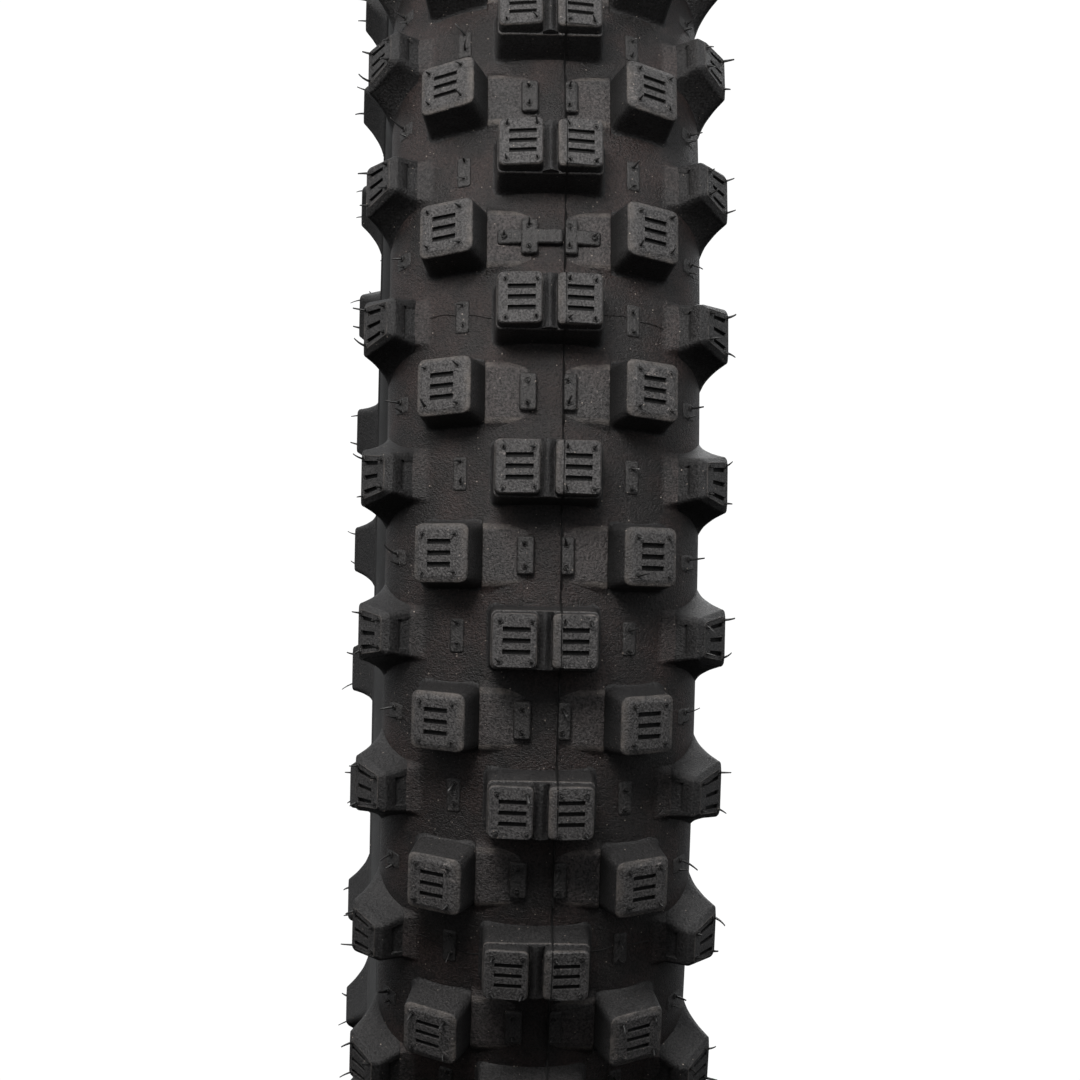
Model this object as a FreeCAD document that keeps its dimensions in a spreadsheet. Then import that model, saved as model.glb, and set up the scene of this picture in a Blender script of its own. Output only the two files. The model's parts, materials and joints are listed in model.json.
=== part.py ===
"""Rear motocross tyre, 110/90-19: bias-ply casing, wire beads and a 36-pitch block tread.

Frame: millimetres, +Z up, origin at the wheel centre, axle along Y. Left is -Y and right is +Y.
A row of tread features crosses +X, -X, +Z and -Z, and the paired centre blocks lie half a pitch to
each side of those directions, so the tyre stands on two rows of centre blocks.

Every ring is a profile in the YZ plane turned about the Y axis. Every tread feature is a short turned
stretch with its two ends cut to the draft of the mould, and repeated around the tyre.
"""

import FreeCAD, Part
import os
import Sketcher

doc = FreeCAD.newDocument("motocross_tyre")

# ---------------------------------------------------------------- driving dimensions
SIZES = {
    # casing: the outer surface is one crown arc, two shoulder arcs and two lower sidewall arcs
    "section_half_width": 54.0,
    "width_radius": 287.0,
    "base_radius": 322.0,
    "shoulder_radius": 28.0,
    "lower_wall_radius": 32.8,
    # bead and rim seat: 19 inch rim code, 2.15 inch rim width
    "seat_radius": 241.3,
    "heel_half_width": 27.3,
    "heel_round": 2.3,
    "toe_half_width": 12.9,
    "flange_top_radius": 254.0,
    "flange_lip_radius": 256.0,
    "bead_angle": 53.0,
    "bead_run": 27.5,
    "core_radius": 3.0,
    "wrap_thickness": 0.5,
    "filler_start": 2.6,
    # layers, counted inwards from the outer surface
    "cover_thickness": 3.4,
    "breaker_thickness": 1.0,
    "breaker_angle": 20.0,
    "ply_thickness": 1.0,
    "liner_thickness": 0.7,
    # tread pattern
    "pitch_count": 36,
    "centre_foot_half": 18.3,
    "centre_shelf_half": 18.2,
    "shelf_rise": 14.0,
    "crown_rise": 18.0,
    "cap_inner": 3.1,
    "cap_outer": 17.8,
    "tie_half": 1.5,
    "tie_rise": 1.6,
    "transition_inner_foot": 20.4,
    "transition_inner_top": 26.6,
    "transition_inner_radius": 334.2,
    "transition_outer_top": 44.2,
    "transition_outer_radius": 324.8,
    "transition_outer_foot": 41.4,
    "shoulder_inner_foot": 45.4,
    "shoulder_crease_radius": 310.6,
    "shoulder_crest_inner": 52.5,
    "shoulder_crest_radius": 316.0,
    "shoulder_crest_outer": 55.1,
    "shoulder_face_top_radius": 315.0,
    "shoulder_edge_half": 63.4,
    "shoulder_edge_radius": 302.6,
    "shoulder_wall_half": 62.6,
    "shoulder_wall_radius": 299.4,
    "step_inner": 41.2,
    "step_top_inner": 42.4,
    "step_radius": 310.4,
    "platform_half": 19.5,
    "platform_rise": 2.0,
    "pad_inner": 4.0,
    "pad_outer": 10.0,
    "pad_rise": 0.8,
    "row_pad_inner": 27.2,
    "row_pad_outer": 31.8,
    "wear_bar_end": 17.9,
    "wear_bar_count": 3,
    "wear_bar_first_angle": 70.0,
    # ends of the tread features: half length along the tread at a stated radius, and draft
    "centre_end": 10.0,
    "centre_draft": 0.05,
    "cap_end": 9.2,
    "cap_draft": 0.08,
    "tie_end": 9.9,
    "transition_end": 9.9,
    "transition_draft": 0.12,
    "shoulder_end": 7.0,
    "shoulder_draft": 0.216,
    "step_end": 8.0,
    "step_draft": 0.2,
    "platform_end": 11.3,
    "platform_draft": 0.5,
    "pad_end": 6.7,
    "row_pad_end": 6.2,
    "wear_bar_half_length": 2.7,
    # bevels round the block tops
    "cap_bevel": 0.7,
    "transition_bevel": 1.6,
    "shoulder_bevel": 1.2,
}

TREAD_SWEEP = 12.0  # degrees of ring from which each tread feature is cut, wider than one pitch
CUT_BELOW = 270.0  # the end cuts start at this radius, inside every tread feature
CUT_ABOVE = 350.0  # and finish at this one, outside every tread feature
CUT_ASIDE = 60.0  # and reach this far sideways

sheet = doc.addObject("Spreadsheet::Sheet", "Sizes")
for row, (alias, value) in enumerate(SIZES.items(), start=1):
    sheet.set(f"A{row}", alias)
    sheet.set(f"B{row}", str(value))
    sheet.setAlias(f"B{row}", alias)
doc.recompute()


def size(alias):
    """The expression that reads one cell of the sheet."""
    return f"Sizes.{alias}"


def value_of(expression):
    """The number that an expression of the sheet gives now."""
    result = sheet.evalExpression(expression)
    return float(getattr(result, "Value", result))


# ---------------------------------------------------------------- casing geometry, as expressions
SHOULDER_Y = "(Sizes.section_half_width - Sizes.shoulder_radius)"
SHOULDER_Z = "Sizes.width_radius"
CROWN_RISE_OVER_SIDE = "(Sizes.base_radius - Sizes.width_radius - Sizes.shoulder_radius)"
JOIN_ANGLE = f"(2 * atan({CROWN_RISE_OVER_SIDE} / {SHOULDER_Y}))"
CROWN_R = f"(Sizes.shoulder_radius + {SHOULDER_Y} / sin({JOIN_ANGLE}))"
CROWN_Z = f"(Sizes.width_radius - {SHOULDER_Y} / tan({JOIN_ANGLE}))"
COVER = "Sizes.cover_thickness"
PLY_MIDDLE = f"({COVER} + Sizes.ply_thickness)"
PLY_INSIDE = f"({COVER} + 2 * Sizes.ply_thickness)"
LINER_INSIDE = f"({PLY_INSIDE} + Sizes.liner_thickness)"
WRAP_R = "(Sizes.core_radius + Sizes.wrap_thickness)"
# the bead core's centre: down the straight run from the end of the shoulder arc, then across to the core
REACH = f"(Sizes.shoulder_radius - {COVER} + {WRAP_R})"
CORE_Y = f"({SHOULDER_Y} + {REACH} * cos(Sizes.bead_angle) - Sizes.bead_run * sin(Sizes.bead_angle))"
CORE_Z = f"({SHOULDER_Z} - {REACH} * sin(Sizes.bead_angle) - Sizes.bead_run * cos(Sizes.bead_angle))"


def crown_z(y, rise="0"):
    """Height of a line parallel to the crown arc, rise above it, at lateral place y."""
    return f"({CROWN_Z} + sqrt(({CROWN_R} + {rise})^2 - ({y})^2))"


def shoulder_z(y):
    """Height of the shoulder arc at lateral place y."""
    return f"({SHOULDER_Z} + sqrt(Sizes.shoulder_radius^2 - ({y} - {SHOULDER_Y})^2))"


def mirrored(corners):
    """The left half of a profile, walked back from the right half: y changes sign.

    Each corner is (y, z, arc), where arc is None for a straight edge to the next corner, or the
    (radius, centre y, centre z) of the arc that leads there.
    """
    flipped = []
    for place in range(len(corners) - 1, -1, -1):
        y, z, _ = corners[place]
        before = corners[place - 1][2] if place > 0 else None
        arc = None if before is None else (before[0], f"-({before[1]})", before[2])
        flipped.append((f"-({y})", z, arc))
    return flipped


def on_side(profile, side):
    """A closed right profile as it is, or its mirror image for the left.

    The mirror image needs the first corner again at the end, to carry the arc of its closing edge.
    """
    if side == "right":
        return profile
    return mirrored(profile + [profile[0]])[:-1]


def origin_feature(body, role):
    return next(f for f in body.Origin.OriginFeatures if f.Role == role)


def new_body(label):
    body = doc.addObject("PartDesign::Body", label)
    body.Label = label
    body.AllowCompound = True
    return body


def draw(body, name, plane, outlines):
    """A sketch on one of the body's own planes, with every corner and arc radius bound to the sheet.

    Each outline is a closed list of corners (horizontal, vertical, arc to the next corner).
    """
    sketch = body.newObject("Sketcher::SketchObject", name)
    sketch.AttachmentSupport = [(origin_feature(body, plane), "")]
    sketch.MapMode = "FlatFace"
    geometry, constraints, bound = [], [], []
    for outline in outlines:
        points = [FreeCAD.Vector(value_of(h), value_of(v), 0) for h, v, _ in outline]
        first = len(geometry)
        ends = []
        for i, (_, _, arc) in enumerate(outline):
            start, end = points[i], points[(i + 1) % len(points)]
            if arc is None:
                geometry.append(Part.LineSegment(start, end))
                ends.append((1, 2))
                continue
            radius, centre_h, centre_v = arc
            centre = FreeCAD.Vector(value_of(centre_h), value_of(centre_v), 0)
            towards = (start + end) * 0.5 - centre
            middle = centre + towards.normalize() * value_of(radius)
            curve = Part.Arc(start, middle, end)
            geometry.append(curve)
            forward = (start - centre).cross(end - centre).z > 0
            ends.append((1, 2) if forward else (2, 1))
        for i, (h, v, arc) in enumerate(outline):
            here, after = first + i, first + (i + 1) % len(outline)
            after_start = ends[(i + 1) % len(outline)][0]
            constraints.append(Sketcher.Constraint("Coincident", here, ends[i][1], after, after_start))
            for kind, axis, coordinate, expression in (
                ("DistanceX", -2, points[i].x, h),
                ("DistanceY", -1, points[i].y, v),
            ):
                if abs(coordinate) < 1e-9:
                    constraints.append(Sketcher.Constraint("PointOnObject", here, ends[i][0], axis))
                    continue
                constraints.append(Sketcher.Constraint(kind, -1, 1, here, ends[i][0], coordinate))
                bound.append((len(constraints) - 1, expression))
            if arc is not None:
                constraints.append(Sketcher.Constraint("Radius", here, value_of(arc[0])))
                bound.append((len(constraints) - 1, arc[0]))
    sketch.addGeometry(geometry, False)
    sketch.addConstraint(constraints)
    for place, expression in bound:
        sketch.setExpression(f"Constraints[{place}]", expression)
    return sketch


def turned(body, outlines, angle=360.0):
    """Turn profiles of the YZ plane about the Y axis."""
    sketch = draw(body, body.Name + "_profile", "YZ_Plane", outlines)
    feature = body.newObject("PartDesign::Revolution", body.Name + "_turned")
    feature.Profile = sketch
    feature.ReferenceAxis = (origin_feature(body, "Y_Axis"), [""])
    feature.Angle = angle
    feature.Midplane = angle < 360.0
    return feature


def ring(label, *outlines):
    body = new_body(label)
    turned(body, outlines)
    return body


def tread_row(label, outlines, end, draft, at_radius, count="pitch_count", bevel=None, bevel_face=None):
    """One feature of the tread, cut from a turned stretch and repeated around the tyre.

    end is half the feature's length along the tread at at_radius, and draft is how much that half
    length grows for each millimetre nearer the axle. bevel_face picks the face whose edges are bevelled.
    """
    body = new_body(label)
    turned(body, outlines, TREAD_SWEEP)

    def half_length(radius):
        return f"({end} + {draft} * ({at_radius} - {radius}))"

    low, high = half_length(CUT_BELOW), half_length(CUT_ABOVE)
    after = [
        (low, str(CUT_BELOW), None),
        (str(CUT_ASIDE), str(CUT_BELOW), None),
        (str(CUT_ASIDE), str(CUT_ABOVE), None),
        (high, str(CUT_ABOVE), None),
    ]
    before = [(f"-({h})", v, None) for h, v, _ in after]
    cut = body.newObject("PartDesign::Pocket", body.Name + "_ends")
    cut.Profile = draw(body, body.Name + "_end_cuts", "XZ_Plane", [after, before])
    cut.Type = "ThroughAll"
    cut.Midplane = True
    doc.recompute()
    if bevel:
        faces = cut.Shape.Faces
        picked = max(range(len(faces)), key=lambda i: bevel_face(faces[i].CenterOfMass))
        chamfer = body.newObject("PartDesign::Chamfer", body.Name + "_bevel")
        chamfer.Base = (cut, [f"Face{picked + 1}"])
        chamfer.setExpression("Size", size(bevel))
        doc.recompute()
    pattern = body.newObject("PartDesign::PolarPattern", body.Name + "_around")
    pattern.TransformMode = "Whole shape"
    pattern.Axis = (origin_feature(body, "Y_Axis"), [""])
    pattern.Angle = 360
    pattern.setExpression("Occurrences", size(count))
    body.Tip = pattern
    return body


def turn_body(body, angle):
    """Turn a finished body about the axle: angle is an expression in degrees."""
    body.Placement = FreeCAD.Placement(FreeCAD.Vector(), FreeCAD.Rotation(FreeCAD.Vector(0, 1, 0), 1))
    body.setExpression("Placement.Rotation.Angle", angle)


# ---------------------------------------------------------------- profiles of the casing
def carcass_line(depth, bead_radius):
    """The right half of a line through the casing, from the crown round the bead core and up outside it.

    depth is how far the line lies inside the outer surface, and bead_radius how far it passes from the
    centre of the bead core. The line is a crown arc, a shoulder arc, a straight run and a bend round
    the core.
    """
    crown = (f"({CROWN_R} - {depth})", "0", CROWN_Z)
    side = (f"(Sizes.shoulder_radius - {depth})", SHOULDER_Y, SHOULDER_Z)
    bend = (bead_radius, CORE_Y, CORE_Z)
    return [
        ("0", f"({CROWN_Z} + {crown[0]})", crown),
        (
            f"({SHOULDER_Y} + {side[0]} * sin({JOIN_ANGLE}))",
            f"({SHOULDER_Z} + {side[0]} * cos({JOIN_ANGLE}))",
            side,
        ),
        (
            f"({SHOULDER_Y} + {side[0]} * cos(Sizes.bead_angle))",
            f"({SHOULDER_Z} - {side[0]} * sin(Sizes.bead_angle))",
            None,
        ),
        (
            f"({CORE_Y} - {bead_radius} * cos(Sizes.bead_angle))",
            f"({CORE_Z} + {bead_radius} * sin(Sizes.bead_angle))",
            bend,
        ),
        (f"({CORE_Y} - {bead_radius})", CORE_Z, bend),
        (CORE_Y, f"({CORE_Z} - {bead_radius})", bend),
        (f"({CORE_Y} + {bead_radius})", CORE_Z, None),
        (f"({CORE_Y} + {bead_radius})", size("flange_top_radius"), None),
    ]


def reversed_line(corners):
    """The same line walked the other way."""
    back = []
    for place in range(len(corners) - 1, -1, -1):
        y, z, _ = corners[place]
        back.append((y, z, corners[place - 1][2] if place > 0 else None))
    return back


def ended(corners, count):
    """The first count corners of a line, which stops there."""
    y, z, _ = corners[count - 1]
    return corners[: count - 1] + [(y, z, None)]


def full_line(corners):
    """A line from its left end over the crown to its right end; corners starts at the crown."""
    left = mirrored(corners)
    return left[:-1] + [(left[-1][0].replace("-(0)", "0"), left[-1][1], corners[0][2])] + corners[1:]


def layer(outer, inner):
    """The closed profile between two lines that both run from the crown to the right end."""
    return full_line(outer) + reversed_line(full_line(inner))


OUTSIDE = carcass_line("0", "Sizes.core_radius")[:2]
OUTER_FACE = carcass_line(COVER, WRAP_R)
MIDDLE_FACE = carcass_line(PLY_MIDDLE, f"({WRAP_R} + Sizes.ply_thickness)")
INNER_FACE = carcass_line(PLY_INSIDE, f"({WRAP_R} + 2 * Sizes.ply_thickness)")
LINER_FACE = carcass_line(LINER_INSIDE, f"({WRAP_R} + 2 * Sizes.ply_thickness + Sizes.liner_thickness)")
INNER_PLY_R = f"({WRAP_R} + 2 * Sizes.ply_thickness)"
SIDE = ("Sizes.shoulder_radius", SHOULDER_Y, SHOULDER_Z)
COVER_SIDE = (f"(Sizes.shoulder_radius - {COVER})", SHOULDER_Y, SHOULDER_Z)


def cover_profile():
    """Tread rubber from one widest point over the crown to the other, with a recess for the breaker."""
    outside = OUTSIDE + [(size("section_half_width"), size("width_radius"), None)]
    under = f"({CROWN_R} - {COVER})"
    recess = f"({under} + Sizes.breaker_thickness)"
    edge = "sin(Sizes.breaker_angle)"
    rise = "cos(Sizes.breaker_angle)"
    inside = [
        ("0", f"({CROWN_Z} + {recess})", (recess, "0", CROWN_Z)),
        (f"({recess} * {edge})", f"({CROWN_Z} + {recess} * {rise})", None),
        (f"({under} * {edge})", f"({CROWN_Z} + {under} * {rise})", (under, "0", CROWN_Z)),
        (OUTER_FACE[1][0], OUTER_FACE[1][1], COVER_SIDE),
        (f"(Sizes.section_half_width - {COVER})", size("width_radius"), None),
    ]
    return layer(outside, inside)


def breaker_profile():
    """The narrow ply under the crown, which fills the recess of the tread rubber."""
    under = f"({CROWN_R} - {COVER})"
    faces = []
    for radius in (f"({under} + Sizes.breaker_thickness)", under):
        faces.append(
            [
                ("0", f"({CROWN_Z} + {radius})", (radius, "0", CROWN_Z)),
                (
                    f"({radius} * sin(Sizes.breaker_angle))",
                    f"({CROWN_Z} + {radius} * cos(Sizes.breaker_angle))",
                    None,
                ),
            ]
        )
    return layer(*faces)


def run_point_y():
    """Where the outer face of the outer ply crosses the radius at which the turned-up plies end."""
    start_y, start_z = OUTER_FACE[3][0], OUTER_FACE[3][1]
    return f"({start_y} + (Sizes.flange_top_radius - {start_z}) * tan(Sizes.bead_angle))"


def sidewall_profile():
    """Right sidewall rubber, from the widest point down to the top of the rim flange."""
    low_centre_y = "(Sizes.section_half_width - Sizes.lower_wall_radius)"
    low = (size("lower_wall_radius"), low_centre_y, size("width_radius"))
    lip_y = (
        f"({low_centre_y} + sqrt(Sizes.lower_wall_radius^2"
        " - (Sizes.width_radius - Sizes.flange_lip_radius)^2))"
    )
    return [
        (f"(Sizes.section_half_width - {COVER})", size("width_radius"), None),
        (size("section_half_width"), size("width_radius"), low),
        (lip_y, size("flange_lip_radius"), None),
        (size("heel_half_width"), size("flange_top_radius"), None),
        (run_point_y(), size("flange_top_radius"), None),
        (OUTER_FACE[2][0], OUTER_FACE[2][1], COVER_SIDE),
    ]


def filler_profile():
    """Right bead filler: hard rubber that sits on top of the wrapped bead core, between the plies.

    The plies leave the wrap at a tangent, so the filler starts a short way up, where it has a thickness.
    """
    bend = (WRAP_R, CORE_Y, CORE_Z)
    start = size("filler_start")
    across = f"sqrt({WRAP_R}^2 - {start}^2)"
    along_y, along_z = "sin(Sizes.bead_angle)", "cos(Sizes.bead_angle)"

    def beside_run(offset):
        """The point at the filler's start that lies offset from the core's centre, towards the inner run."""
        return (
            f"({CORE_Y} + {start} * {along_y} - {offset} * {along_z})",
            f"({CORE_Z} + {start} * {along_z} + {offset} * {along_y})",
            None,
        )

    return [
        beside_run(WRAP_R),
        (run_point_y(), size("flange_top_radius"), None),
        (f"({CORE_Y} + {WRAP_R})", size("flange_top_radius"), None),
        (f"({CORE_Y} + {WRAP_R})", f"({CORE_Z} + {start})", None),
        (f"({CORE_Y} + {across})", f"({CORE_Z} + {start})", bend),
        beside_run(across),
    ]


def chafer_profile():
    """Right chafer: the rubbered fabric on the rim, from the toe round the heel to the flange top."""
    toe_side = f"({CORE_Y} - {INNER_PLY_R} - Sizes.liner_thickness)"
    bend = (INNER_PLY_R, CORE_Y, CORE_Z)
    heel_y = "(Sizes.heel_half_width - Sizes.heel_round)"
    heel_z = "(Sizes.seat_radius + Sizes.heel_round)"
    return [
        (toe_side, CORE_Z, None),
        (f"({CORE_Y} - {INNER_PLY_R})", CORE_Z, bend),
        (CORE_Y, f"({CORE_Z} - {INNER_PLY_R})", bend),
        (f"({CORE_Y} + {INNER_PLY_R})", CORE_Z, None),
        (f"({CORE_Y} + {INNER_PLY_R})", size("flange_top_radius"), None),
        (size("heel_half_width"), size("flange_top_radius"), None),
        (size("heel_half_width"), heel_z, (size("heel_round"), heel_y, heel_z)),
        (heel_y, size("seat_radius"), None),
        (size("toe_half_width"), size("seat_radius"), None),
    ]


ring("tread_base", cover_profile())
ring("breaker", breaker_profile())
ring("outer_ply", layer(OUTER_FACE, MIDDLE_FACE))
ring("inner_ply", layer(MIDDLE_FACE, INNER_FACE))
ring("inner_liner", layer(ended(INNER_FACE, 5), ended(LINER_FACE, 5)))
for side in ("right", "left"):
    ring(f"sidewall_{side}", on_side(sidewall_profile(), side))
    ring(f"bead_filler_{side}", on_side(filler_profile(), side))
    ring(f"chafer_{side}", on_side(chafer_profile(), side))


# ---------------------------------------------------------------- bead cores and their wraps
def bead_torus(name, sign, tube):
    torus = doc.addObject("Part::Torus", name)
    torus.Placement = FreeCAD.Placement(
        FreeCAD.Vector(0, sign, 0), FreeCAD.Rotation(FreeCAD.Vector(1, 0, 0), 90)
    )
    torus.setExpression("Placement.Base.y", f"{sign} * {CORE_Y}")
    torus.setExpression("Radius1", CORE_Z)
    torus.setExpression("Radius2", tube)
    return torus


for side, sign in (("right", 1), ("left", -1)):
    bead_torus(f"bead_core_{side}", sign, size("core_radius"))
    wrap = doc.addObject("Part::Cut", f"bead_wrap_{side}")
    wrap.Base = bead_torus(f"wrap_outside_{side}", sign, WRAP_R)
    wrap.Tool = bead_torus(f"wrap_inside_{side}", sign, size("core_radius"))


# ---------------------------------------------------------------- profiles of the tread features
def crown_arc(rise="0"):
    return (f"({CROWN_R} + {rise})", "0", CROWN_Z)


def crown_band(inner, outer, low, high):
    """A feature between two lines parallel to the crown, from inner to outer across the tread."""
    return [
        (inner, crown_z(inner, low), crown_arc(low)),
        (outer, crown_z(outer, low), None),
        (outer, crown_z(outer, high), crown_arc(high)),
        (inner, crown_z(inner, high), None),
    ]


def centre_base_profile():
    """The low body shared by a pair of centre blocks."""
    foot, shelf, rise = size("centre_foot_half"), size("centre_shelf_half"), size("shelf_rise")
    return [
        (f"-{foot}", crown_z(foot), crown_arc()),
        (foot, crown_z(foot), None),
        (shelf, crown_z(shelf, rise), crown_arc(rise)),
        (f"-{shelf}", crown_z(shelf, rise), None),
    ]


def transition_profile():
    """Right transition block: the inner wall leans outwards and the top slopes to the shoulder."""
    foot_in, foot_out = size("transition_inner_foot"), size("transition_outer_foot")
    return [
        (foot_in, crown_z(foot_in), crown_arc()),
        (OUTSIDE[1][0], OUTSIDE[1][1], SIDE),
        (foot_out, shoulder_z(foot_out), None),
        (size("transition_outer_top"), size("transition_outer_radius"), None),
        (size("transition_inner_top"), size("transition_inner_radius"), None),
    ]


def shoulder_profile():
    """Right shoulder block: a narrow crest, a face that slopes out and a short outer wall."""
    foot = size("shoulder_inner_foot")
    return [
        (foot, shoulder_z(foot), SIDE),
        (size("section_half_width"), size("width_radius"), None),
        (size("shoulder_wall_half"), size("shoulder_wall_radius"), None),
        (size("shoulder_edge_half"), size("shoulder_edge_radius"), None),
        (size("shoulder_crest_outer"), size("shoulder_face_top_radius"), None),
        (size("shoulder_crest_inner"), size("shoulder_crest_radius"), None),
        (foot, size("shoulder_crease_radius"), None),
    ]


def step_profile():
    """The low step at the inner foot of a right shoulder block."""
    inner, outer = size("step_inner"), size("shoulder_inner_foot")
    return [
        (inner, shoulder_z(inner), SIDE),
        (outer, shoulder_z(outer), None),
        (outer, size("step_radius"), None),
        (size("step_top_inner"), size("step_radius"), None),
    ]


def highest(centre):
    return centre.z


def facing_out(centre):
    """Ranks faces along the direction that the shoulder blocks' sloping face looks."""
    return 1.5 * abs(centre.y) + centre.z


HALF_PITCH = "180 / Sizes.pitch_count"
SHELF_RADIUS = "(Sizes.base_radius + Sizes.shelf_rise)"
CROWN_RADIUS = "(Sizes.base_radius + Sizes.crown_rise)"
PLATFORM_TOP = "(Sizes.platform_rise + Sizes.pad_rise)"
PAD_RADIUS = f"(Sizes.base_radius + {PLATFORM_TOP})"

pair_rows = [
    tread_row(
        "centre_block_bases",
        [centre_base_profile()],
        size("centre_end"),
        size("centre_draft"),
        SHELF_RADIUS,
    ),
    tread_row(
        "centre_tie_ribs",
        [
            crown_band(
                f"-{size('tie_half')}",
                size("tie_half"),
                size("shelf_rise"),
                "(Sizes.shelf_rise + Sizes.tie_rise)",
            )
        ],
        size("tie_end"),
        "0",
        SHELF_RADIUS,
    ),
]
for side in ("left", "right"):
    cap = crown_band(size("cap_inner"), size("cap_outer"), size("shelf_rise"), size("crown_rise"))
    pair_rows.append(
        tread_row(
            f"centre_blocks_{side}",
            [on_side(cap, side)],
            size("cap_end"),
            size("cap_draft"),
            CROWN_RADIUS,
            bevel="cap_bevel",
            bevel_face=highest,
        )
    )
    pair_rows.append(
        tread_row(
            f"shoulder_blocks_{side}",
            [on_side(shoulder_profile(), side)],
            size("shoulder_end"),
            size("shoulder_draft"),
            size("shoulder_crest_radius"),
            bevel="shoulder_bevel",
            bevel_face=facing_out,
        )
    )
    pair_rows.append(
        tread_row(
            f"shoulder_steps_{side}",
            [on_side(step_profile(), side)],
            size("step_end"),
            size("step_draft"),
            size("step_radius"),
        )
    )
    row_pad = crown_band(size("row_pad_inner"), size("row_pad_outer"), "0", size("pad_rise"))
    pair_rows.append(
        tread_row(
            f"row_pads_{side}", [on_side(row_pad, side)], size("row_pad_end"), "0", size("base_radius")
        )
    )
    tread_row(
        f"transition_blocks_{side}",
        [on_side(transition_profile(), side)],
        size("transition_end"),
        size("transition_draft"),
        size("transition_inner_radius"),
        bevel="transition_bevel",
        bevel_face=highest,
    )
    pad = crown_band(size("pad_inner"), size("pad_outer"), size("platform_rise"), PLATFORM_TOP)
    tread_row(f"platform_pads_{side}", [on_side(pad, side)], size("pad_end"), "0", PAD_RADIUS)
for body in pair_rows:
    turn_body(body, HALF_PITCH)

tread_row(
    "tie_platforms",
    [crown_band(f"-{size('platform_half')}", size("platform_half"), "0", size("platform_rise"))],
    size("platform_end"),
    size("platform_draft"),
    "(Sizes.base_radius + Sizes.platform_rise)",
)
bar_ends = (
    (f"-{size('wear_bar_end')}", f"-{size('pad_outer')}"),
    (f"-{size('pad_inner')}", size("pad_inner")),
    (size("pad_outer"), size("wear_bar_end")),
)
wear_bars = tread_row(
    "wear_mark_bars",
    [crown_band(inner, outer, size("platform_rise"), PLATFORM_TOP) for inner, outer in bar_ends],
    size("wear_bar_half_length"),
    "0",
    PAD_RADIUS,
    count="wear_bar_count",
)
turn_body(wear_bars, size("wear_bar_first_angle"))


# ---------------------------------------------------------------- checks and export
doc.recompute()

TOOL_PREFIX = "wrap_"
parts = [
    item
    for item in doc.Objects
    if item.TypeId in ("PartDesign::Body", "Part::Torus", "Part::Cut")
    and not item.Label.startswith(TOOL_PREFIX)
]
for item in doc.Objects:
    wrong = [word for word in item.State if word in ("Invalid", "Error")]
    if wrong:
        raise RuntimeError(f"{item.Label} did not build: {item.State}")
for item in parts:
    if item.Shape.isNull() or not item.Shape.isValid():
        raise RuntimeError(f"{item.Label} has no valid shape")

print(f"bead core centre: y {value_of(CORE_Y):.2f}, radius {value_of(CORE_Z):.2f}")
print(f"crown arc radius {value_of(CROWN_R):.2f}, join angle {value_of(JOIN_ANGLE):.2f}")
os.makedirs("parts", exist_ok=True)
for item in parts:
    item.Shape.exportStep(f"parts/{item.Label}.step")
    solids = item.Shape.Solids
    print(f"{item.Label}: {len(solids)} solids, {sum(s.Volume for s in solids) / 1000:.2f} cm3")
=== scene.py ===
# %% [markdown]
# # An off-road motorcycle tire
# The tire is one long ring of rubber with rows of separate blocks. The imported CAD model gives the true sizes,
# and this script gives every visible surface its moulded form: rounded block edges, slots, vent hairs, thin
# flash lines and a rubber finish. All new pieces are surfaces worked out with numpy.

# %% Load the frame
import bpy
import json
import math
import numpy as np
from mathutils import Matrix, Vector

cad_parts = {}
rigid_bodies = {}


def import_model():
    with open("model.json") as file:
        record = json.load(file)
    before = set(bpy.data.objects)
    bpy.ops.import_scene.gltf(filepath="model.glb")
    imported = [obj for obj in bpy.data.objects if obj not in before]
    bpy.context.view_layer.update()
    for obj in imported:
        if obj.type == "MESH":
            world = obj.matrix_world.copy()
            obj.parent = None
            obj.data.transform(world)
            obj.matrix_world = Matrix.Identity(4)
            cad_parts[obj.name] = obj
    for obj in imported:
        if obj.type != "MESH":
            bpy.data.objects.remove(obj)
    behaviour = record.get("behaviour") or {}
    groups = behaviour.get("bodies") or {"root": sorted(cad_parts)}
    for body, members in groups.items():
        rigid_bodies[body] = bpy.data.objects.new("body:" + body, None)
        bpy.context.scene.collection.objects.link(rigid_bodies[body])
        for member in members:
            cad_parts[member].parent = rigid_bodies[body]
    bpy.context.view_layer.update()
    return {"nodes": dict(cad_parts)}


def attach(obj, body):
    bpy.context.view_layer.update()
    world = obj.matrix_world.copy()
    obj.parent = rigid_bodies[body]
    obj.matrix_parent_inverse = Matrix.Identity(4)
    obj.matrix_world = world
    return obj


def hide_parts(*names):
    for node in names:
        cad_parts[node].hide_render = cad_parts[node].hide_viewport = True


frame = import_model()

# %% [markdown]
# ## Where things sit on a tire
# The tire turns about the Y axis. A place on it is given by three lengths in millimetres: how far it is to the
# side (y), how far along the tread from the middle of its own row (tau), and how far from the axle (r). The tread
# repeats 36 times, so one block is worked out once and then turned to 36 places. A polar array modifier would also
# do this, but whole arrays of points are quick and leave nothing live on the piece.

# %% Rows and places
MM = 0.001
PITCHES = 36
PITCH = 2 * np.pi / PITCHES
TRANSITION_ROWS = np.arange(PITCHES) * PITCH
PAIR_ROWS = TRANSITION_ROWS + PITCH / 2


def placed(local, angles):
    """Points (y, tau, height) of one row, turned to every angle: the height points from the axle to the row's
    middle, and tau is at a right angle to it. The result has one set of points for each angle, in millimetres."""
    y, tau, height = local[..., 0], local[..., 1], local[..., 2]
    c = np.cos(angles).reshape((-1,) + (1,) * y.ndim)
    s = np.sin(angles).reshape((-1,) + (1,) * y.ndim)
    across = np.broadcast_to(y, (len(angles),) + y.shape)
    return np.stack([height * c - tau * s, across, -height * s - tau * c], -1)


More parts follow.
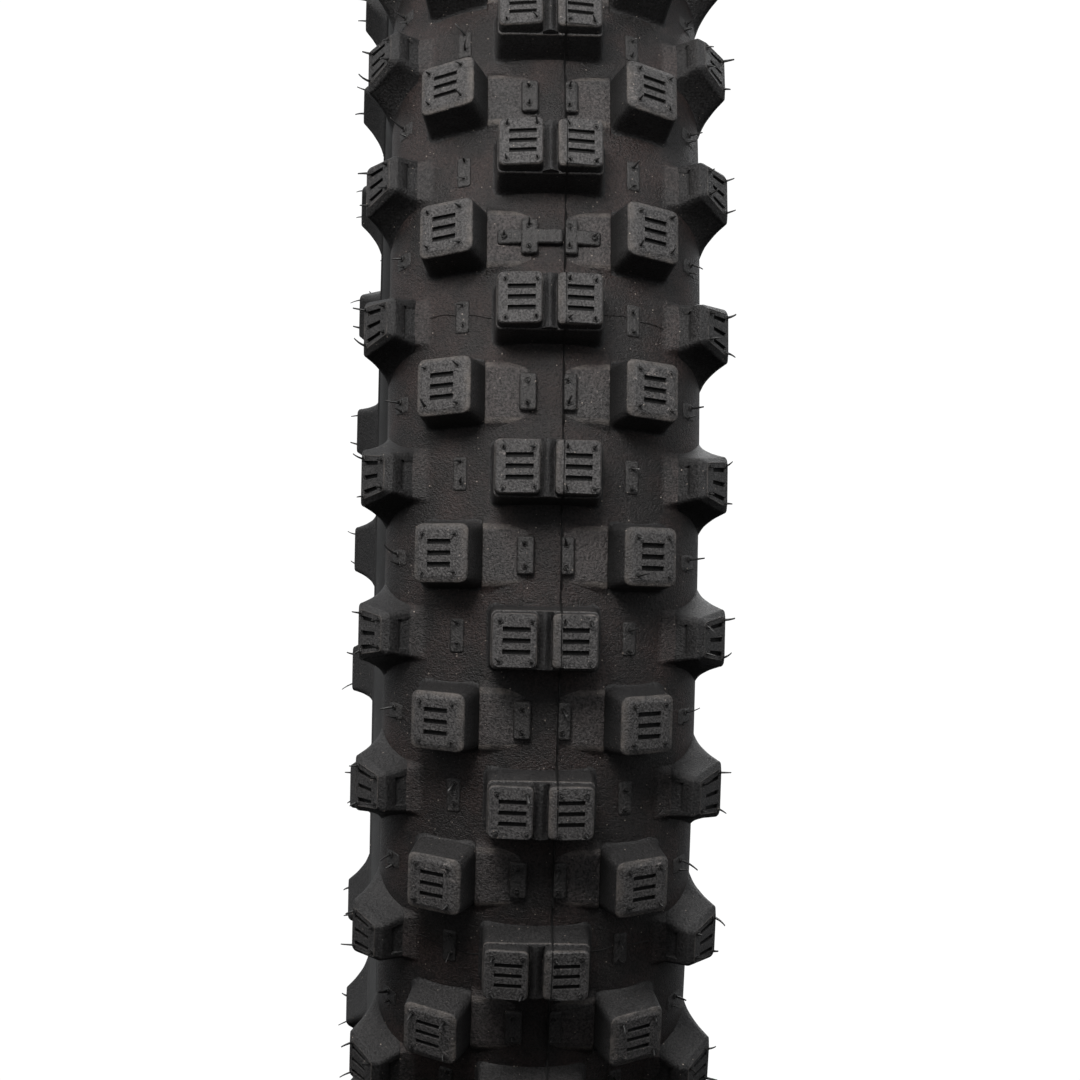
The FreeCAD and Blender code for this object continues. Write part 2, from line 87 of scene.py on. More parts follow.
def from_radius(y, tau, r):
    """(y, tau, height) for a true distance r from the axle: height = sqrt(r^2 - tau^2)."""
    return np.stack([y, tau, np.sqrt(np.maximum(r * r - tau * tau, 1.0))], -1)


# %% [markdown]
# ## The groove floor
# Everything stands on the floor between the blocks. Seen in section it is a flat crown arc that runs smoothly into
# a tighter arc on each shoulder. One formula for its radius lets each block flow into it without a visible joint.

# %% Groove floor
CROWN_R, CROWN_CENTRE = 79.79, 242.21
SHOULDER_R, SHOULDER_Y, SHOULDER_CENTRE = 28.0, 26.0, 287.0
CROWN_END = 40.06
BLOCK_HEIGHT = 18.0


def floor_radius(y):
    """Crown: centre + sqrt(R^2 - y^2). Beyond the join: centre + sqrt(R^2 - (y - side)^2) of the shoulder arc."""
    side = np.minimum(np.abs(y), SHOULDER_Y + SHOULDER_R - 0.02)
    crown = CROWN_CENTRE + np.sqrt(CROWN_R**2 - np.minimum(side, 60.0) ** 2)
    shoulder = SHOULDER_CENTRE + np.sqrt(np.maximum(SHOULDER_R**2 - (side - SHOULDER_Y) ** 2, 0.0))
    return np.where(side < CROWN_END, crown, shoulder)


def block_top(y):
    """Radius of the centre blocks' tops: an arc one block height outside the crown arc."""
    return CROWN_CENTRE + np.sqrt((CROWN_R + BLOCK_HEIGHT) ** 2 - y**2)


def at(surface, y):
    """One radius of a surface, as a plain number."""
    return float(surface(np.array(y)))


print("floor radius at 0, 20, 40 and 50 mm:", np.round(floor_radius(np.array([0.0, 20.0, 40.0, 50.0])), 2))

# %% [markdown]
# ## From arrays to a mesh
# A helper puts the arrays into a mesh. It checks which way one closed copy of the shape faces by its signed
# volume, turns the faces if they point inwards, smooths the shading and keeps edges over 38 degrees sharp.

# %% Mesh helper
SHARP = math.radians(38)
SIDES = (("left", -1.0), ("right", 1.0))


def show(name, data):
    """A new object of the scene that shows a mesh, a lamp or a camera."""
    made = bpy.data.objects.new(name, data)
    bpy.context.scene.collection.objects.link(made)
    return made


def volume_sign(points, faces):
    """Six times the volume is the sum of a . (b x c) over the triangles of every face fan."""
    total = 0.0
    for corners in faces:
        for k in range(1, corners.shape[1] - 1):
            a, b, c = points[corners[:, 0]], points[corners[:, k]], points[corners[:, k + 1]]
            total += np.einsum("ij,ij->i", a, np.cross(b, c)).sum()
    return np.sign(total)


def make_piece(name, copies, faces, marks=None, replaces=(), slot="tread_rubber", sharp=SHARP):
    """copies is (number of copies, points, 3) in millimetres, faces a list of arrays of corner numbers of one copy,
    and marks a dictionary of one number per point of a copy, kept as attributes that the materials can read."""
    if volume_sign(copies[0] - copies[0].mean(0), faces) < 0:
        faces = [corners[:, ::-1] for corners in faces]
    number, size = copies.shape[:2]
    shift = (np.arange(number) * size)[:, None, None]
    loops = np.concatenate([(corners[None] + shift).reshape(-1) for corners in faces])
    lengths = np.concatenate([np.full(number * len(corners), corners.shape[1]) for corners in faces])
    mesh = bpy.data.meshes.new(name)
    mesh.vertices.add(number * size)
    mesh.vertices.foreach_set("co", (copies.reshape(-1) * MM).astype(np.float32))
    mesh.loops.add(len(loops))
    mesh.loops.foreach_set("vertex_index", loops.astype(np.int32))
    mesh.polygons.add(len(lengths))
    starts = np.concatenate([[0], np.cumsum(lengths)[:-1]])
    mesh.polygons.foreach_set("loop_start", starts.astype(np.int32))
    for title, values in (marks or {}).items():
        layer = mesh.attributes.new(title, "FLOAT", "POINT")
        layer.data.foreach_set("value", np.tile(values, number).astype(np.float32))
    mesh.update(calc_edges=True)
    mesh.validate()
    mesh.shade_smooth()
    mesh.set_sharp_from_angle(angle=sharp)
    piece = show(name, mesh)
    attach(piece, "root")
    if replaces:
        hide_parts(*replaces)
    print(f"{name}: {number} copies, {int((lengths - 2).sum())} triangles")
    return piece


# %% [markdown]
# ## How a block is made
# A block could be a box with a Bevel modifier and Boolean slots, but 36 copies of that are slow and messy. Here a
# block is one sheet of points. Its top is a grid of lines, closer together at the slots, and its sides are rings
# that follow the grid's rim downwards: over the bevel, down the wall, and out through a soft fillet that ends just
# under the groove floor. Each corner of that path is swapped for a short curve, so nothing is knife sharp.

# %% Outlines and rings
RIM = np.array([0.0, 0.35, 0.9, 1.7, 2.8])  # grid lines near each edge, in millimetres from it
HOLD = 0.3  # the distance between a curve's end and the ring that holds the flat's shading


def grid_lines(half, inside=()):
    """Positions from -half to half: close together near the two ends, plus the lines that a slot needs."""
    lines = np.concatenate([-half + RIM, half - RIM, np.asarray(inside, float)])
    return np.unique(np.round(lines, 4)) / half


def outline(u, v, y, tau, corner, r=None, lift=None):
    """A rectangle with rounded corners for grid positions u and v from -1 to 1. y gives its two sides, tau its half
    length at each of them, and corner the corner radius at each. A point in a corner is moved onto a circle: the
    nearest point of the inner rectangle plus radius times the direction from there. Its distance from the axle is
    either a straight line between the two numbers of r, or the groove floor plus lift."""
    wide, long = (y[1] - y[0]) / 2, (tau[0] + tau[1]) / 2
    x, z = u * wide, v * long
    inset = np.minimum(wide - np.abs(x), long - np.abs(z))
    round_r = np.maximum(np.where(x > 0, corner[1], corner[0]) - inset, 0.0)
    limit_x, limit_z = wide - inset - round_r, long - inset - round_r
    near_x, near_z = np.clip(x, -limit_x, limit_x), np.clip(z, -limit_z, limit_z)
    off_x, off_z = x - near_x, z - near_z
    scale = round_r / np.maximum(np.hypot(off_x, off_z), 1e-9)
    x = np.where(round_r > 0, near_x + off_x * scale, x)
    z = np.where(round_r > 0, near_z + off_z * scale, z)
    across = (x + wide) / (2 * wide)
    side = y[0] + (y[1] - y[0]) * across
    along = z / long * (tau[0] + (tau[1] - tau[0]) * across)
    radius = floor_radius(side) + lift if r is None else r[0] + (r[1] - r[0]) * across
    return from_radius(side, along, radius)


def toward(here, there, length, most=0.5):
    """The step of the given length from here towards there, but at most a share of the way."""
    way = there - here
    distance = np.maximum(np.linalg.norm(way, axis=-1, keepdims=True), 1e-6)
    return way * np.minimum(most, np.reshape(length, (-1, 1)) / distance)


def softened(rings, cuts, steps):
    """Rings from the top down, with the corner at each inner ring swapped for a curve. The curve starts and ends
    a cut's length before and after the corner: (1-s)^2 a + 2 s (1-s) corner + s^2 b. A ring a little beyond each
    end holds the shading of the flat beside it. With 0 steps the corner stays crisp, with -1 it is only kept."""
    out = [rings[0], rings[0] + toward(rings[0], rings[1], HOLD)]
    for before, here, after, cut, count in zip(rings, rings[1:], rings[2:], cuts, steps):
        if count < 0:
            out.append(here)
            continue
        a, b = here + toward(here, before, cut, 0.4), here + toward(here, after, cut, 0.4)
        out.append(here + toward(here, before, cut + HOLD))
        if count == 0:
            out.append(here)
        else:
            out += [(1 - s) ** 2 * a + 2 * s * (1 - s) * here + s**2 * b for s in np.linspace(0, 1, count + 1)]
        out.append(here + toward(here, after, cut + HOLD))
    out.append(rings[-1])
    return np.array(out)


def sheet_faces(number):
    """The four-cornered faces of a grid of point numbers."""
    return np.stack([number[:-1, :-1], number[1:, :-1], number[1:, 1:], number[:-1, 1:]], -1).reshape(-1, 4)


def ring_faces(rings):
    """The four-cornered faces between closed rings of point numbers."""
    after = np.roll(rings, -1, axis=1)
    return np.stack([rings[:-1], rings[1:], after[1:], after[:-1]], -1).reshape(-1, 4)


def rim_walk(number):
    """Numbers of the grid's rim points, once round."""
    return np.concatenate([number[:-1, 0], number[-1, :-1], number[:0:-1, -1], number[0, :0:-1]])


def block_faces(columns, rows, ring_count):
    """Four-cornered faces of the top grid and of the rings below it, and one many-cornered face that closes it."""
    number = np.arange(columns * rows).reshape(columns, rows)
    walk = rim_walk(number)
    below = columns * rows + np.arange(ring_count * len(walk)).reshape(ring_count, len(walk))
    rings = np.concatenate([walk[None], below])
    return [sheet_faces(number), ring_faces(rings), rings[-1:]]


# %% [markdown]
# ## Slots in the block tops
# Each block has three short slots that let its top flex. A slot's edge is two grid lines almost on top of each
# other: the outer one stays on the top and the inner one drops to the slot's floor. That gives a crisp wall from a
# plain grid, with no Boolean cut.

# %% Slot lines
SLOT_DEPTH, SLOT_HALF, WALL = 1.3, 0.87, 0.07


def slot_marks(low, high):
    """The grid lines that one slot needs along one direction: both edges, each with its partner on the floor."""
    return [low, low + WALL, high - WALL, high]


def slot_depth(x, z, slots):
    """The depth below the top at each grid point: full inside any slot's floor lines, otherwise nothing."""
    depth = np.zeros(np.broadcast(x, z).shape)
    for (x0, x1), (z0, z1) in slots:
        inside = (x > x0 + WALL / 2) & (x < x1 - WALL / 2) & (z > z0 + WALL / 2) & (z < z1 - WALL / 2)
        depth = np.where(inside, SLOT_DEPTH, depth)
    return depth


def build_block(top, rings, cuts, steps, slots=(), extra=(), dent=None, marks_of=None):
    """One block as (points, faces, marks). top and rings are keyword sets for outline: top is the flat top, and the
    rings follow it down. slots are given in millimetres from the top's middle. dent moves points of the wall. The
    marks are top (where dust lies, which also paints the tops lighter as a sheen), the panel mark (rougher, and
    painted near black as shade: slot floors and what marks_of gives) and edge (the rim, painted lighter as a
    highlight mixed with rubbed wear)."""
    half_u = (top["y"][1] - top["y"][0]) / 2
    half_v = (top["tau"][0] + top["tau"][1]) / 2
    need_u = sorted({m for (x0, x1), _ in slots for m in slot_marks(x0, x1)})
    need_v = sorted({m for _, (z0, z1) in slots for m in slot_marks(z0, z1)} | set(extra))
    lines_u, lines_v = grid_lines(half_u, need_u), grid_lines(half_v, need_v)
    u, v = np.meshgrid(lines_u, lines_v, indexing="ij")
    surface = outline(u, v, **top)
    if "r" in top:
        run, fall = top["y"][1] - top["y"][0], top["r"][1] - top["r"][0]
        normal = np.array([-fall, 0.0, run]) / math.hypot(run, fall)
    else:
        normal = np.array([0.0, 0.0, 1.0])
    depth = slot_depth(u * half_u, v * half_v, slots)
    surface = surface - depth[..., None] * normal
    walk = rim_walk(np.arange(u.size).reshape(u.shape))
    rim_u, rim_v = u.reshape(-1)[walk], v.reshape(-1)[walk]
    main = [surface.reshape(-1, 3)[walk]] + [outline(rim_u, rim_v, **ring) for ring in rings]
    across = (rim_u + 1) / 2
    cuts = [cut[0] + (cut[1] - cut[0]) * across if isinstance(cut, tuple) else cut for cut in cuts]
    wall = softened(main, cuts, steps)[1:]
    if dent is not None:
        wall = dent(wall)
    points = np.concatenate([surface.reshape(-1, 3), wall.reshape(-1, 3)])
    faces = block_faces(len(lines_u), len(lines_v), len(wall))
    in_slot = depth.reshape(-1) > 0
    rim, edge = np.zeros(wall.shape[:2]), np.zeros(wall.shape[:2])
    rim[: steps[0] + 4] = np.linspace(1.0, 0.1, steps[0] + 4)[:, None]
    # edge: the rim's rounding, which the material paints lighter as a highlight mixed with rubbed wear.
    edge[1 : steps[0] + 3] = 1.0
    # Slot floors, and what marks_of gives, are painted near black in the material as shade.
    dark = np.concatenate([in_slot, np.zeros(rim.size)])
    if marks_of is not None:
        dark = np.maximum(dark, marks_of(points))
    marks = {
        "top": np.concatenate([np.where(in_slot, 0.35, 1.0), rim.reshape(-1)]),
        "panel": dark,
        "edge": np.concatenate([0.0 * in_slot, edge.reshape(-1)]),
    }
    return points, faces, marks


def one_side(name, sign, built, angles, nodes):
    """A row of copies on one side. The left one is the mirror image of the right one: y changes sign."""
    points, faces, marks = built
    return make_piece(name, placed(points * np.array([sign, 1.0, 1.0]), angles), faces, marks, replaces=nodes)


def both_sides(name, built, angles, nodes=()):
    """The right row, then the left one."""
    for side, sign in SIDES[::-1]:
        one_side(f"{name}_{side}", sign, built, angles, [title.format(side=side) for title in nodes])


# %% [markdown]
# ## Centre blocks
# A low body carries each pair, and a small step runs round it below the two caps. Between the caps lies a channel
# with a thin rib. The mould halves meet a little to the right of the middle, so the right cap's inner edge is
# worn down to a slope there.

# %% Centre blocks
THREE_SLOTS = (-3.83, 0.0, 3.83)


def cap(inner, inner_drop, inner_top, slot_start, slot_end):
    """One cap. The top follows the crown as a chord between its two edges, then bevel, wall and a hidden foot."""
    top_y, edge_y, foot_y = (inner_top, 17.5), (inner, 18.0), (inner - 0.15, 18.1)
    heights = tuple(at(block_top, y) for y in top_y)
    edge = (at(block_top, inner) - inner_drop, at(block_top, 18.0) - 0.5)
    middle = sum(top_y) / 2
    slots = [((slot_start - middle, slot_end - middle), (t - SLOT_HALF, t + SLOT_HALF)) for t in THREE_SLOTS]
    return build_block(
        dict(y=top_y, tau=(8.95, 8.95), corner=(1.6, 1.8), r=heights),
        [
            dict(y=edge_y, tau=(9.35, 9.35), corner=(1.9, 2.1), r=edge),
            dict(y=foot_y, tau=(9.5, 9.5), corner=(2.0, 2.2), r=(335.4, 333.6)),
            dict(y=foot_y, tau=(9.5, 9.5), corner=(2.0, 2.2), r=(334.0, 332.0)),
        ],
        cuts=(0.3, 0.2),
        steps=(2, -1),
        slots=slots,
    )


CAPS = (cap(2.7, 0.5, 3.3, 5.0, 14.5), cap(2.5, 1.4, 5.4, 5.85, 15.0))
for (side, sign), built in zip(SIDES, CAPS):
    one_side(f"centre_caps_{side}", sign, built, PAIR_ROWS, [f"centre_blocks_{side}"])

pair_body = build_block(
    dict(y=(-18.05, 18.05), tau=(9.8, 9.8), corner=(1.8, 1.8), lift=13.8),
    [
        dict(y=(-18.3, 18.3), tau=(10.05, 10.05), corner=(2.1, 2.1), lift=13.65),
        dict(y=(-18.35, 18.35), tau=(10.75, 10.75), corner=(2.4, 2.4), lift=0.0),
        dict(y=(-21.4, 21.4), tau=(13.9, 13.9), corner=(5.0, 5.0), lift=-0.04),
        dict(y=(-22.0, 22.0), tau=(14.5, 14.5), corner=(5.4, 5.4), lift=-1.4),
    ],
    cuts=(0.3, 2.7, 0.2),
    steps=(2, 5, -1),
    extra=(-5.0, 0.0, 5.0),
)
make_piece("centre_pair_bodies", placed(pair_body[0], PAIR_ROWS), *pair_body[1:], replaces=["centre_block_bases"])

# %% [markdown]
# The rib in the channel is a soft ridge. Its section is a bell curve carried along the channel, and it spreads a
# little at both ends where it meets the block's wall.

# %% Channel rib
rib_s, rib_w = np.meshgrid(np.linspace(-1, 1, 19), np.linspace(-1, 1, 9), indexing="ij")
rib_half = 1.9 + 0.9 * np.abs(rib_s) ** 8
rib_rise = 1.7 * np.cos(rib_w * np.pi / 2) ** 1.5 * (1 - 0.25 * np.abs(rib_s) ** 8)
rib_top = from_radius(rib_w * rib_half, rib_s * 9.9, floor_radius(0.0) + 13.6 + rib_rise)
rib_under = from_radius(rib_w * rib_half, rib_s * 9.9, floor_radius(0.0) + 12.6 + 0 * rib_rise)


def closed_strip(top, under):
    """Points and faces of a thin closed body between two sheets of the same grid."""
    shift = top.shape[0] * top.shape[1]
    number = np.arange(shift).reshape(top.shape[:2])
    sheet, walk = sheet_faces(number), rim_walk(number)
    after = np.roll(walk, -1)
    rim = np.stack([walk, walk + shift, after + shift, after], -1)
    return np.concatenate([top.reshape(-1, 3), under.reshape(-1, 3)]), [sheet, sheet[:, ::-1] + shift, rim]


rib_points, rib_faces = closed_strip(rib_top, rib_under)
make_piece("channel_ribs", placed(rib_points, PAIR_ROWS), rib_faces, replaces=["centre_tie_ribs"])

# %% [markdown]
# ## Transition blocks
# These stand between the centre and the shoulder, half a pitch from the pairs. The top slopes down to the shoulder,
# with a wide bevel on its inner side and round outer corners. The inner wall leans out and carries a coarse panel,
# which is marked here so the rubber material can roughen it and paint it near black as shade.

# %% Transition blocks
TRANSITION_TOP = ((26.6, 334.2), (44.2, 324.8))


def on_transition(y, drop=0.0):
    """The sloping top as a straight line between its inner and outer edge, lowered by drop."""
    (y0, r0), (y1, r1) = TRANSITION_TOP
    return r0 + (r1 - r0) * (y - y0) / (y1 - y0) - drop


def coarse_panel_and_shade(points):
    """1 on the middle of the leaning inner wall, 0 elsewhere. The material roughens it and paints it near black:
    painted shade.
    """
    y, tau, height = points.T
    r = np.hypot(tau, height)
    inside = (y < 26.0) & (y > 20.6) & (r > 320.6) & (r < 331.5) & (np.abs(tau) < 9.3)
    return inside.astype(float)


flat_y, bevel_y = (29.9, 42.95), (26.8, 44.5)
middle = sum(flat_y) / 2
bevel_r = (on_transition(bevel_y[0], 0.95), on_transition(bevel_y[1], 0.9))
transition = build_block(
    dict(y=flat_y, tau=(7.95, 7.95), corner=(1.3, 1.5), r=tuple(on_transition(y) for y in flat_y)),
    [
        dict(y=bevel_y, tau=(10.1, 10.05), corner=(2.6, 2.5), r=bevel_r),
        dict(y=(26.1, 44.3), tau=(10.2, 10.15), corner=(2.7, 2.6), r=(332.2, 322.4)),
        dict(y=(22.8, 42.4), tau=(10.8, 10.8), corner=(2.8, 2.8), r=(324.8, 314.4)),
        dict(y=(20.9, 41.4), tau=(11.3, 11.4), corner=(3.0, 3.2), lift=0.0),
        dict(y=(18.0, 44.6), tau=(14.2, 14.6), corner=(5.5, 6.0), lift=-0.04),
        dict(y=(17.5, 45.2), tau=(14.8, 15.2), corner=(5.8, 6.4), lift=-1.4),
    ],
    cuts=(0.4, 0.0, 0.0, 2.8, 0.2),
    steps=(2, -1, -1, 5, -1),
    slots=[((32.49 - middle, 40.41 - middle), (t - SLOT_HALF, t + SLOT_HALF)) for t in (-3.9, 0.0, 3.9)],
    marks_of=coarse_panel_and_shade,
)
both_sides("transition_knobs", transition, TRANSITION_ROWS, ["transition_blocks_{side}"])

# %% [markdown]
# ## Shoulder blocks
# The outer row bites in soft ground. Its face looks outwards and its slots fan out, because the face is wider at
# its outer edge. A band runs round the face, the flanks flare into the shoulder in a long curve, and the inner
# wall has a pocket pressed into it.

# %% Shoulder blocks
POCKET = (-4.9, 5.0)


def press_pocket(wall):
    """Moves points of the inner wall down, towards the wheel's axle, where they lie inside the pocket. The depth
    grows in a straight line from nothing at the wall's foot to 1.6 mm at the pocket's outer edge, and the outer
    edge leans so that it stays in view."""
    y, tau, height = wall[..., 0], wall[..., 1], wall[..., 2]
    inside = (y < 49.6) & (tau > POCKET[0] - 0.02) & (tau < POCKET[1] + 0.02) & (height > 300)
    depth = np.where(inside, np.clip((y - 45.0) / 4.5, 0.0, 1.0) * 1.6, 0.0)
    return wall + depth[..., None] * np.array([-0.33, 0.0, -1.0])


def pocket_shade(points):
    """1 along the pocket's outer edge, where hardly any light gets in, and 0 elsewhere."""
    y, tau, height = points.T
    across = (tau > POCKET[0] - 0.02) & (tau < POCKET[1] + 0.02)
    return ((y > 48.6) & (y < 49.2) & across & (height > 300)).astype(float)


face_y = (55.75, 62.7)
face_middle = sum(face_y) / 2
fan = [(-4.35, 0.75), (0.25, 0.75), (4.75, 0.75)]
pocket_lines = [p * 6.5 / 7.6 for p in (POCKET[0] - 0.12, POCKET[0], POCKET[1], POCKET[1] + 0.12)]
shoulder = build_block(
    dict(y=face_y, tau=(5.5, 7.4), corner=(0.5, 0.8), r=(314.0, 303.3)),
    [
        dict(y=(55.35, 63.0), tau=(5.9, 7.85), corner=(0.8, 1.1), r=(314.85, 302.95)),
        dict(y=(52.5, 62.95), tau=(7.15, 10.3), corner=(1.5, 1.6), r=(315.85, 300.5)),
        dict(y=(49.62, 62.7), tau=(7.5, 10.4), corner=(1.5, 2.0), r=(313.75, 299.9)),
        dict(y=(49.5, 62.68), tau=(7.52, 10.42), corner=(1.5, 2.0), r=(313.65, 299.85)),
        dict(y=(48.75, 62.17), tau=(7.67, 10.73), corner=(1.5, 2.17), r=(313.1, 299.14)),
        dict(y=(45.0, 59.6), tau=(8.4, 12.3), corner=(1.5, 3.0), r=(310.35, 295.6)),
        dict(y=(44.4, 56.2), tau=(9.8, 16.0), corner=(1.8, 4.5), r=(307.2, 290.0)),
        dict(y=(43.6, 54.15), tau=(13.8, 24.2), corner=(3.0, 9.0), r=(307.9, 285.0)),
        dict(y=(43.2, 51.5), tau=(14.2, 24.6), corner=(3.0, 9.0), r=(305.0, 281.0)),
    ],
    cuts=(0.0, 0.4, 0.0, 0.0, 0.0, (0.3, 3.0), (1.0, 9.0), 0.2),
    steps=(0, 2, -1, -1, -1, 3, 6, -1),
    slots=[((57.45 - face_middle, 62.1 - face_middle), (t - w, t + w)) for t, w in fan],
    extra=pocket_lines,
    dent=press_pocket,
    marks_of=pocket_shade,
)
# The shoulder face gets less dust and less painted sheen.
shoulder[2]["top"] *= 0.35
both_sides("shoulder_knobs", shoulder, PAIR_ROWS, ["shoulder_blocks_{side}"])

step = build_block(
    dict(y=(41.2, 45.7), tau=(6.9, 6.9), corner=(0.8, 0.5), r=(311.1, 310.6)),
    [
        dict(y=(40.6, 45.8), tau=(7.7, 7.7), corner=(1.2, 0.5), r=(311.2, 310.4)),
        dict(y=(39.2, 46.0), tau=(9.6, 9.6), corner=(2.2, 0.5), lift=-0.03),
        dict(y=(38.2, 46.2), tau=(11.4, 11.4), corner=(3.0, 0.5), lift=-0.3),
    ],
    cuts=(0.9, 1.3),
    steps=(3, 4),
)
# The shelf gets less dust and painted sheen, and no painted rim highlight.
step[2]["top"] *= 0.45
step[2]["edge"] *= 0.0
both_sides("shoulder_shelves", step, PAIR_ROWS, ["shoulder_steps_{side}"])

# %% [markdown]
# ## Platforms and plates
# A low platform ties the two transition blocks together under each gap. It is widest where it meets them. Small
# plates with a vent at each end are raised on it, on the floor beside the pairs and on the shoulders: air leaves
# the mould there.

# %% Platforms and plates
PLATFORM_LIFT = 1.9
HALF_LENGTHS = ([-19.5, -14.0, -7.0, 4.9, 6.4, 13.0, 16.5, 19.5], [11.6, 11.0, 10.7, 10.5, 9.6, 9.5, 10.3, 11.6])


def waisted(points):
    """Scales tau by the platform's half length at that y, read from a table of eight places."""
    share = np.interp(points[:, 0], *HALF_LENGTHS) / 11.0
    r = np.hypot(points[:, 1], points[:, 2])
    return from_radius(points[:, 0], points[:, 1] * share, r)


platform = build_block(
    dict(y=(-21.2, 21.2), tau=(7.8, 7.8), corner=(0.4, 0.4), lift=PLATFORM_LIFT),
    [
        dict(y=(-21.4, 21.4), tau=(9.4, 9.4), corner=(0.5, 0.5), lift=1.6),
        dict(y=(-21.6, 21.6), tau=(12.2, 12.2), corner=(0.6, 0.6), lift=0.0),
        dict(y=(-21.8, 21.8), tau=(14.8, 14.8), corner=(0.8, 0.8), lift=-0.1),
        dict(y=(-22.0, 22.0), tau=(15.2, 15.2), corner=(0.8, 0.8), lift=-1.0),
    ],
    cuts=(0.8, 1.3, 0.2),
    steps=(4, 4, -1),
    extra=(-6.0, -3.0, 0.0, 3.0, 6.0),
)
make_piece("tie_plates", placed(waisted(platform[0]), TRANSITION_ROWS), *platform[1:], replaces=["tie_platforms"])


def plate(y, tau, lift, high, slope=0.35, corner=0.8):
    """A low raised plate with steep sides and slightly round edges, standing on the floor plus lift."""
    low_y, high_y = y
    middle, half = (tau[0] + tau[1]) / 2, (tau[1] - tau[0]) / 2
    flat = dict(y=(low_y + 0.3, high_y - 0.3), tau=(half - 0.3, half - 0.3), corner=(corner - 0.3,) * 2)
    spread = dict(y=(low_y - slope, high_y + slope), tau=(half + slope,) * 2, corner=(corner + 0.3,) * 2)
    points, faces, marks = build_block(
        dict(flat, lift=lift + high),
        [
            dict(y=y, tau=(half, half), corner=(corner, corner), lift=lift + high - 0.15),
            dict(spread, lift=lift),
            dict(spread, lift=lift - 0.7),
        ],
        cuts=(0.15, 0.25),
        steps=(1, 1),
    )
    r = np.hypot(points[:, 1], points[:, 2])
    marks = {"top": marks["top"] * 0.5, "panel": marks["panel"]}
    return from_radius(points[:, 0], points[:, 1] + middle, r), faces, marks


for (side, sign), span in zip(SIDES, ((4.1, 9.4), (5.7, 9.7))):
    built = plate(span, (-6.3, 6.3), PLATFORM_LIFT, 0.6)
    one_side(f"platform_plates_{side}", sign, built, TRANSITION_ROWS, [f"platform_pads_{side}"])

both_sides("row_plates", plate((27.3, 31.5), (-5.6, 5.6), 0.0, 0.6), PAIR_ROWS, ["row_pads_{side}"])
both_sides("shoulder_plates", plate((47.8, 51.0), (-1.6, 3.6), 0.0, 0.45), TRANSITION_ROWS)

BAR_ROWS = np.radians([-20.0, 100.0, 220.0])
bars = [plate(y, (-2.5, 2.5), PLATFORM_LIFT, 0.6) for y in ((-17.6, -9.5), (-4.5, 4.5), (9.5, 17.6))]
bar_points = np.concatenate([np.tile(placed(bar[0], BAR_ROWS), 1) for bar in bars])
make_piece("wear_bars", bar_points, bars[0][1], bars[0][2], replaces=["wear_mark_bars"])

# %% [markdown]
# ## Casing
# The casing is a profile carried once round the axle. The floor gets a closed ring of its own, and each sidewall is
# a ring with the ribs that guide the fitter's eye to the rim. A Screw modifier could turn the profile, but the
# formula x = r cos a, z = -r sin a gives clean rings directly.


# %% Turned rings
def turned_ring(name, profile, replaces, slot, segments=432):
    """A closed profile of (y, r) places, carried round the Y axis in equal steps."""
    profile = np.asarray(profile, float)
    angle = np.linspace(0, 2 * np.pi, segments, endpoint=False)
    y = np.broadcast_to(profile[:, 0], (segments, len(profile)))
    r = np.broadcast_to(profile[:, 1], (segments, len(profile)))
    points = np.stack([r * np.cos(angle)[:, None], y, -r * np.sin(angle)[:, None]], -1)
    number = np.arange(segments * len(profile)).reshape(segments, -1)
    right, after = np.roll(number, -1, axis=1), np.roll(number, -1, axis=0)
    faces = np.stack([number, right, np.roll(right, -1, axis=0), after], -1).reshape(-1, 4)
    return make_piece(name, points.reshape(1, -1, 3), [faces], replaces=replaces, slot=slot)


def arc(centre_y, centre_r, radius, start, end, count):
    """Places on a circle, with angles in degrees from the sideways direction towards the outside."""
    a = np.radians(np.linspace(start, end, count))
    return np.stack([centre_y + radius * np.cos(a), centre_r + radius * np.sin(a)], -1)


shoulder_y = SHOULDER_Y + SHOULDER_R * np.cos(np.radians(np.linspace(62, 0, 26)))
side_y = np.concatenate([np.linspace(0, 38, 24), shoulder_y])
side_r = floor_radius(side_y)
side_r[-1] = SHOULDER_CENTRE
outer = np.stack([side_y, side_r], -1)
outer = np.concatenate([outer[::-1] * [-1, 1], outer[1:]])
inner = np.stack([outer[::-3, 0] * 0.93, CROWN_CENTRE + (outer[::-3, 1] - CROWN_CENTRE) * 0.955], -1)
turned_ring("tread_floor", np.concatenate([outer, inner]), ["tread_base"], "tread_rubber")

# %% [markdown]
# The lower sidewall bends inwards to the rim. Fine ribs are drawn on its arc as small bumps of its radius: a bell
# curve at each rib's place. The last, taller rib is the line that shows whether the tire sits true on its rim.

# %% Sidewalls
WALL_R = 32.8
# each rib's angle down the wall and half width in degrees, then its height in millimetres
RIBS = ((6.0, 0.5, 0.35), (7.6, 0.5, 0.35), (9.2, 0.5, 0.35), (30.0, 0.55, 0.4), (60.5, 0.9, 0.55), (66.5, 1.1, 0.8))


def ribbed_arc(count):
    """The lower sidewall's arc with the ribs added to its radius. Angles run down the wall."""
    a = np.linspace(0, 70.0, count)
    radius = WALL_R + sum(high * np.exp(-(((a - place) / wide) ** 2)) for place, wide, high in RIBS)
    turned = np.radians(a)
    widest = SHOULDER_Y + SHOULDER_R
    return np.stack([widest - WALL_R + radius * np.cos(turned), SHOULDER_CENTRE - radius * np.sin(turned)], -1)


wall_arc = ribbed_arc(150)
for side, sign in SIDES[::-1]:
    profile = np.concatenate([wall_arc, [[31.4, 255.0], [27.3, 254.0], [29.0, 255.4], [46.0, 270.0], [50.6, 287.0]]])
    turned_ring(f"flank_{side}", profile * [sign, 1], [f"sidewall_{side}"], "sidewall_rubber", 288)

# %% [markdown]
# The chafer is the strip that sits on the rim: a flat seat with a round heel and a small toe. The liner is the
# smooth skin inside. Both are thin rings, turned like the rest.

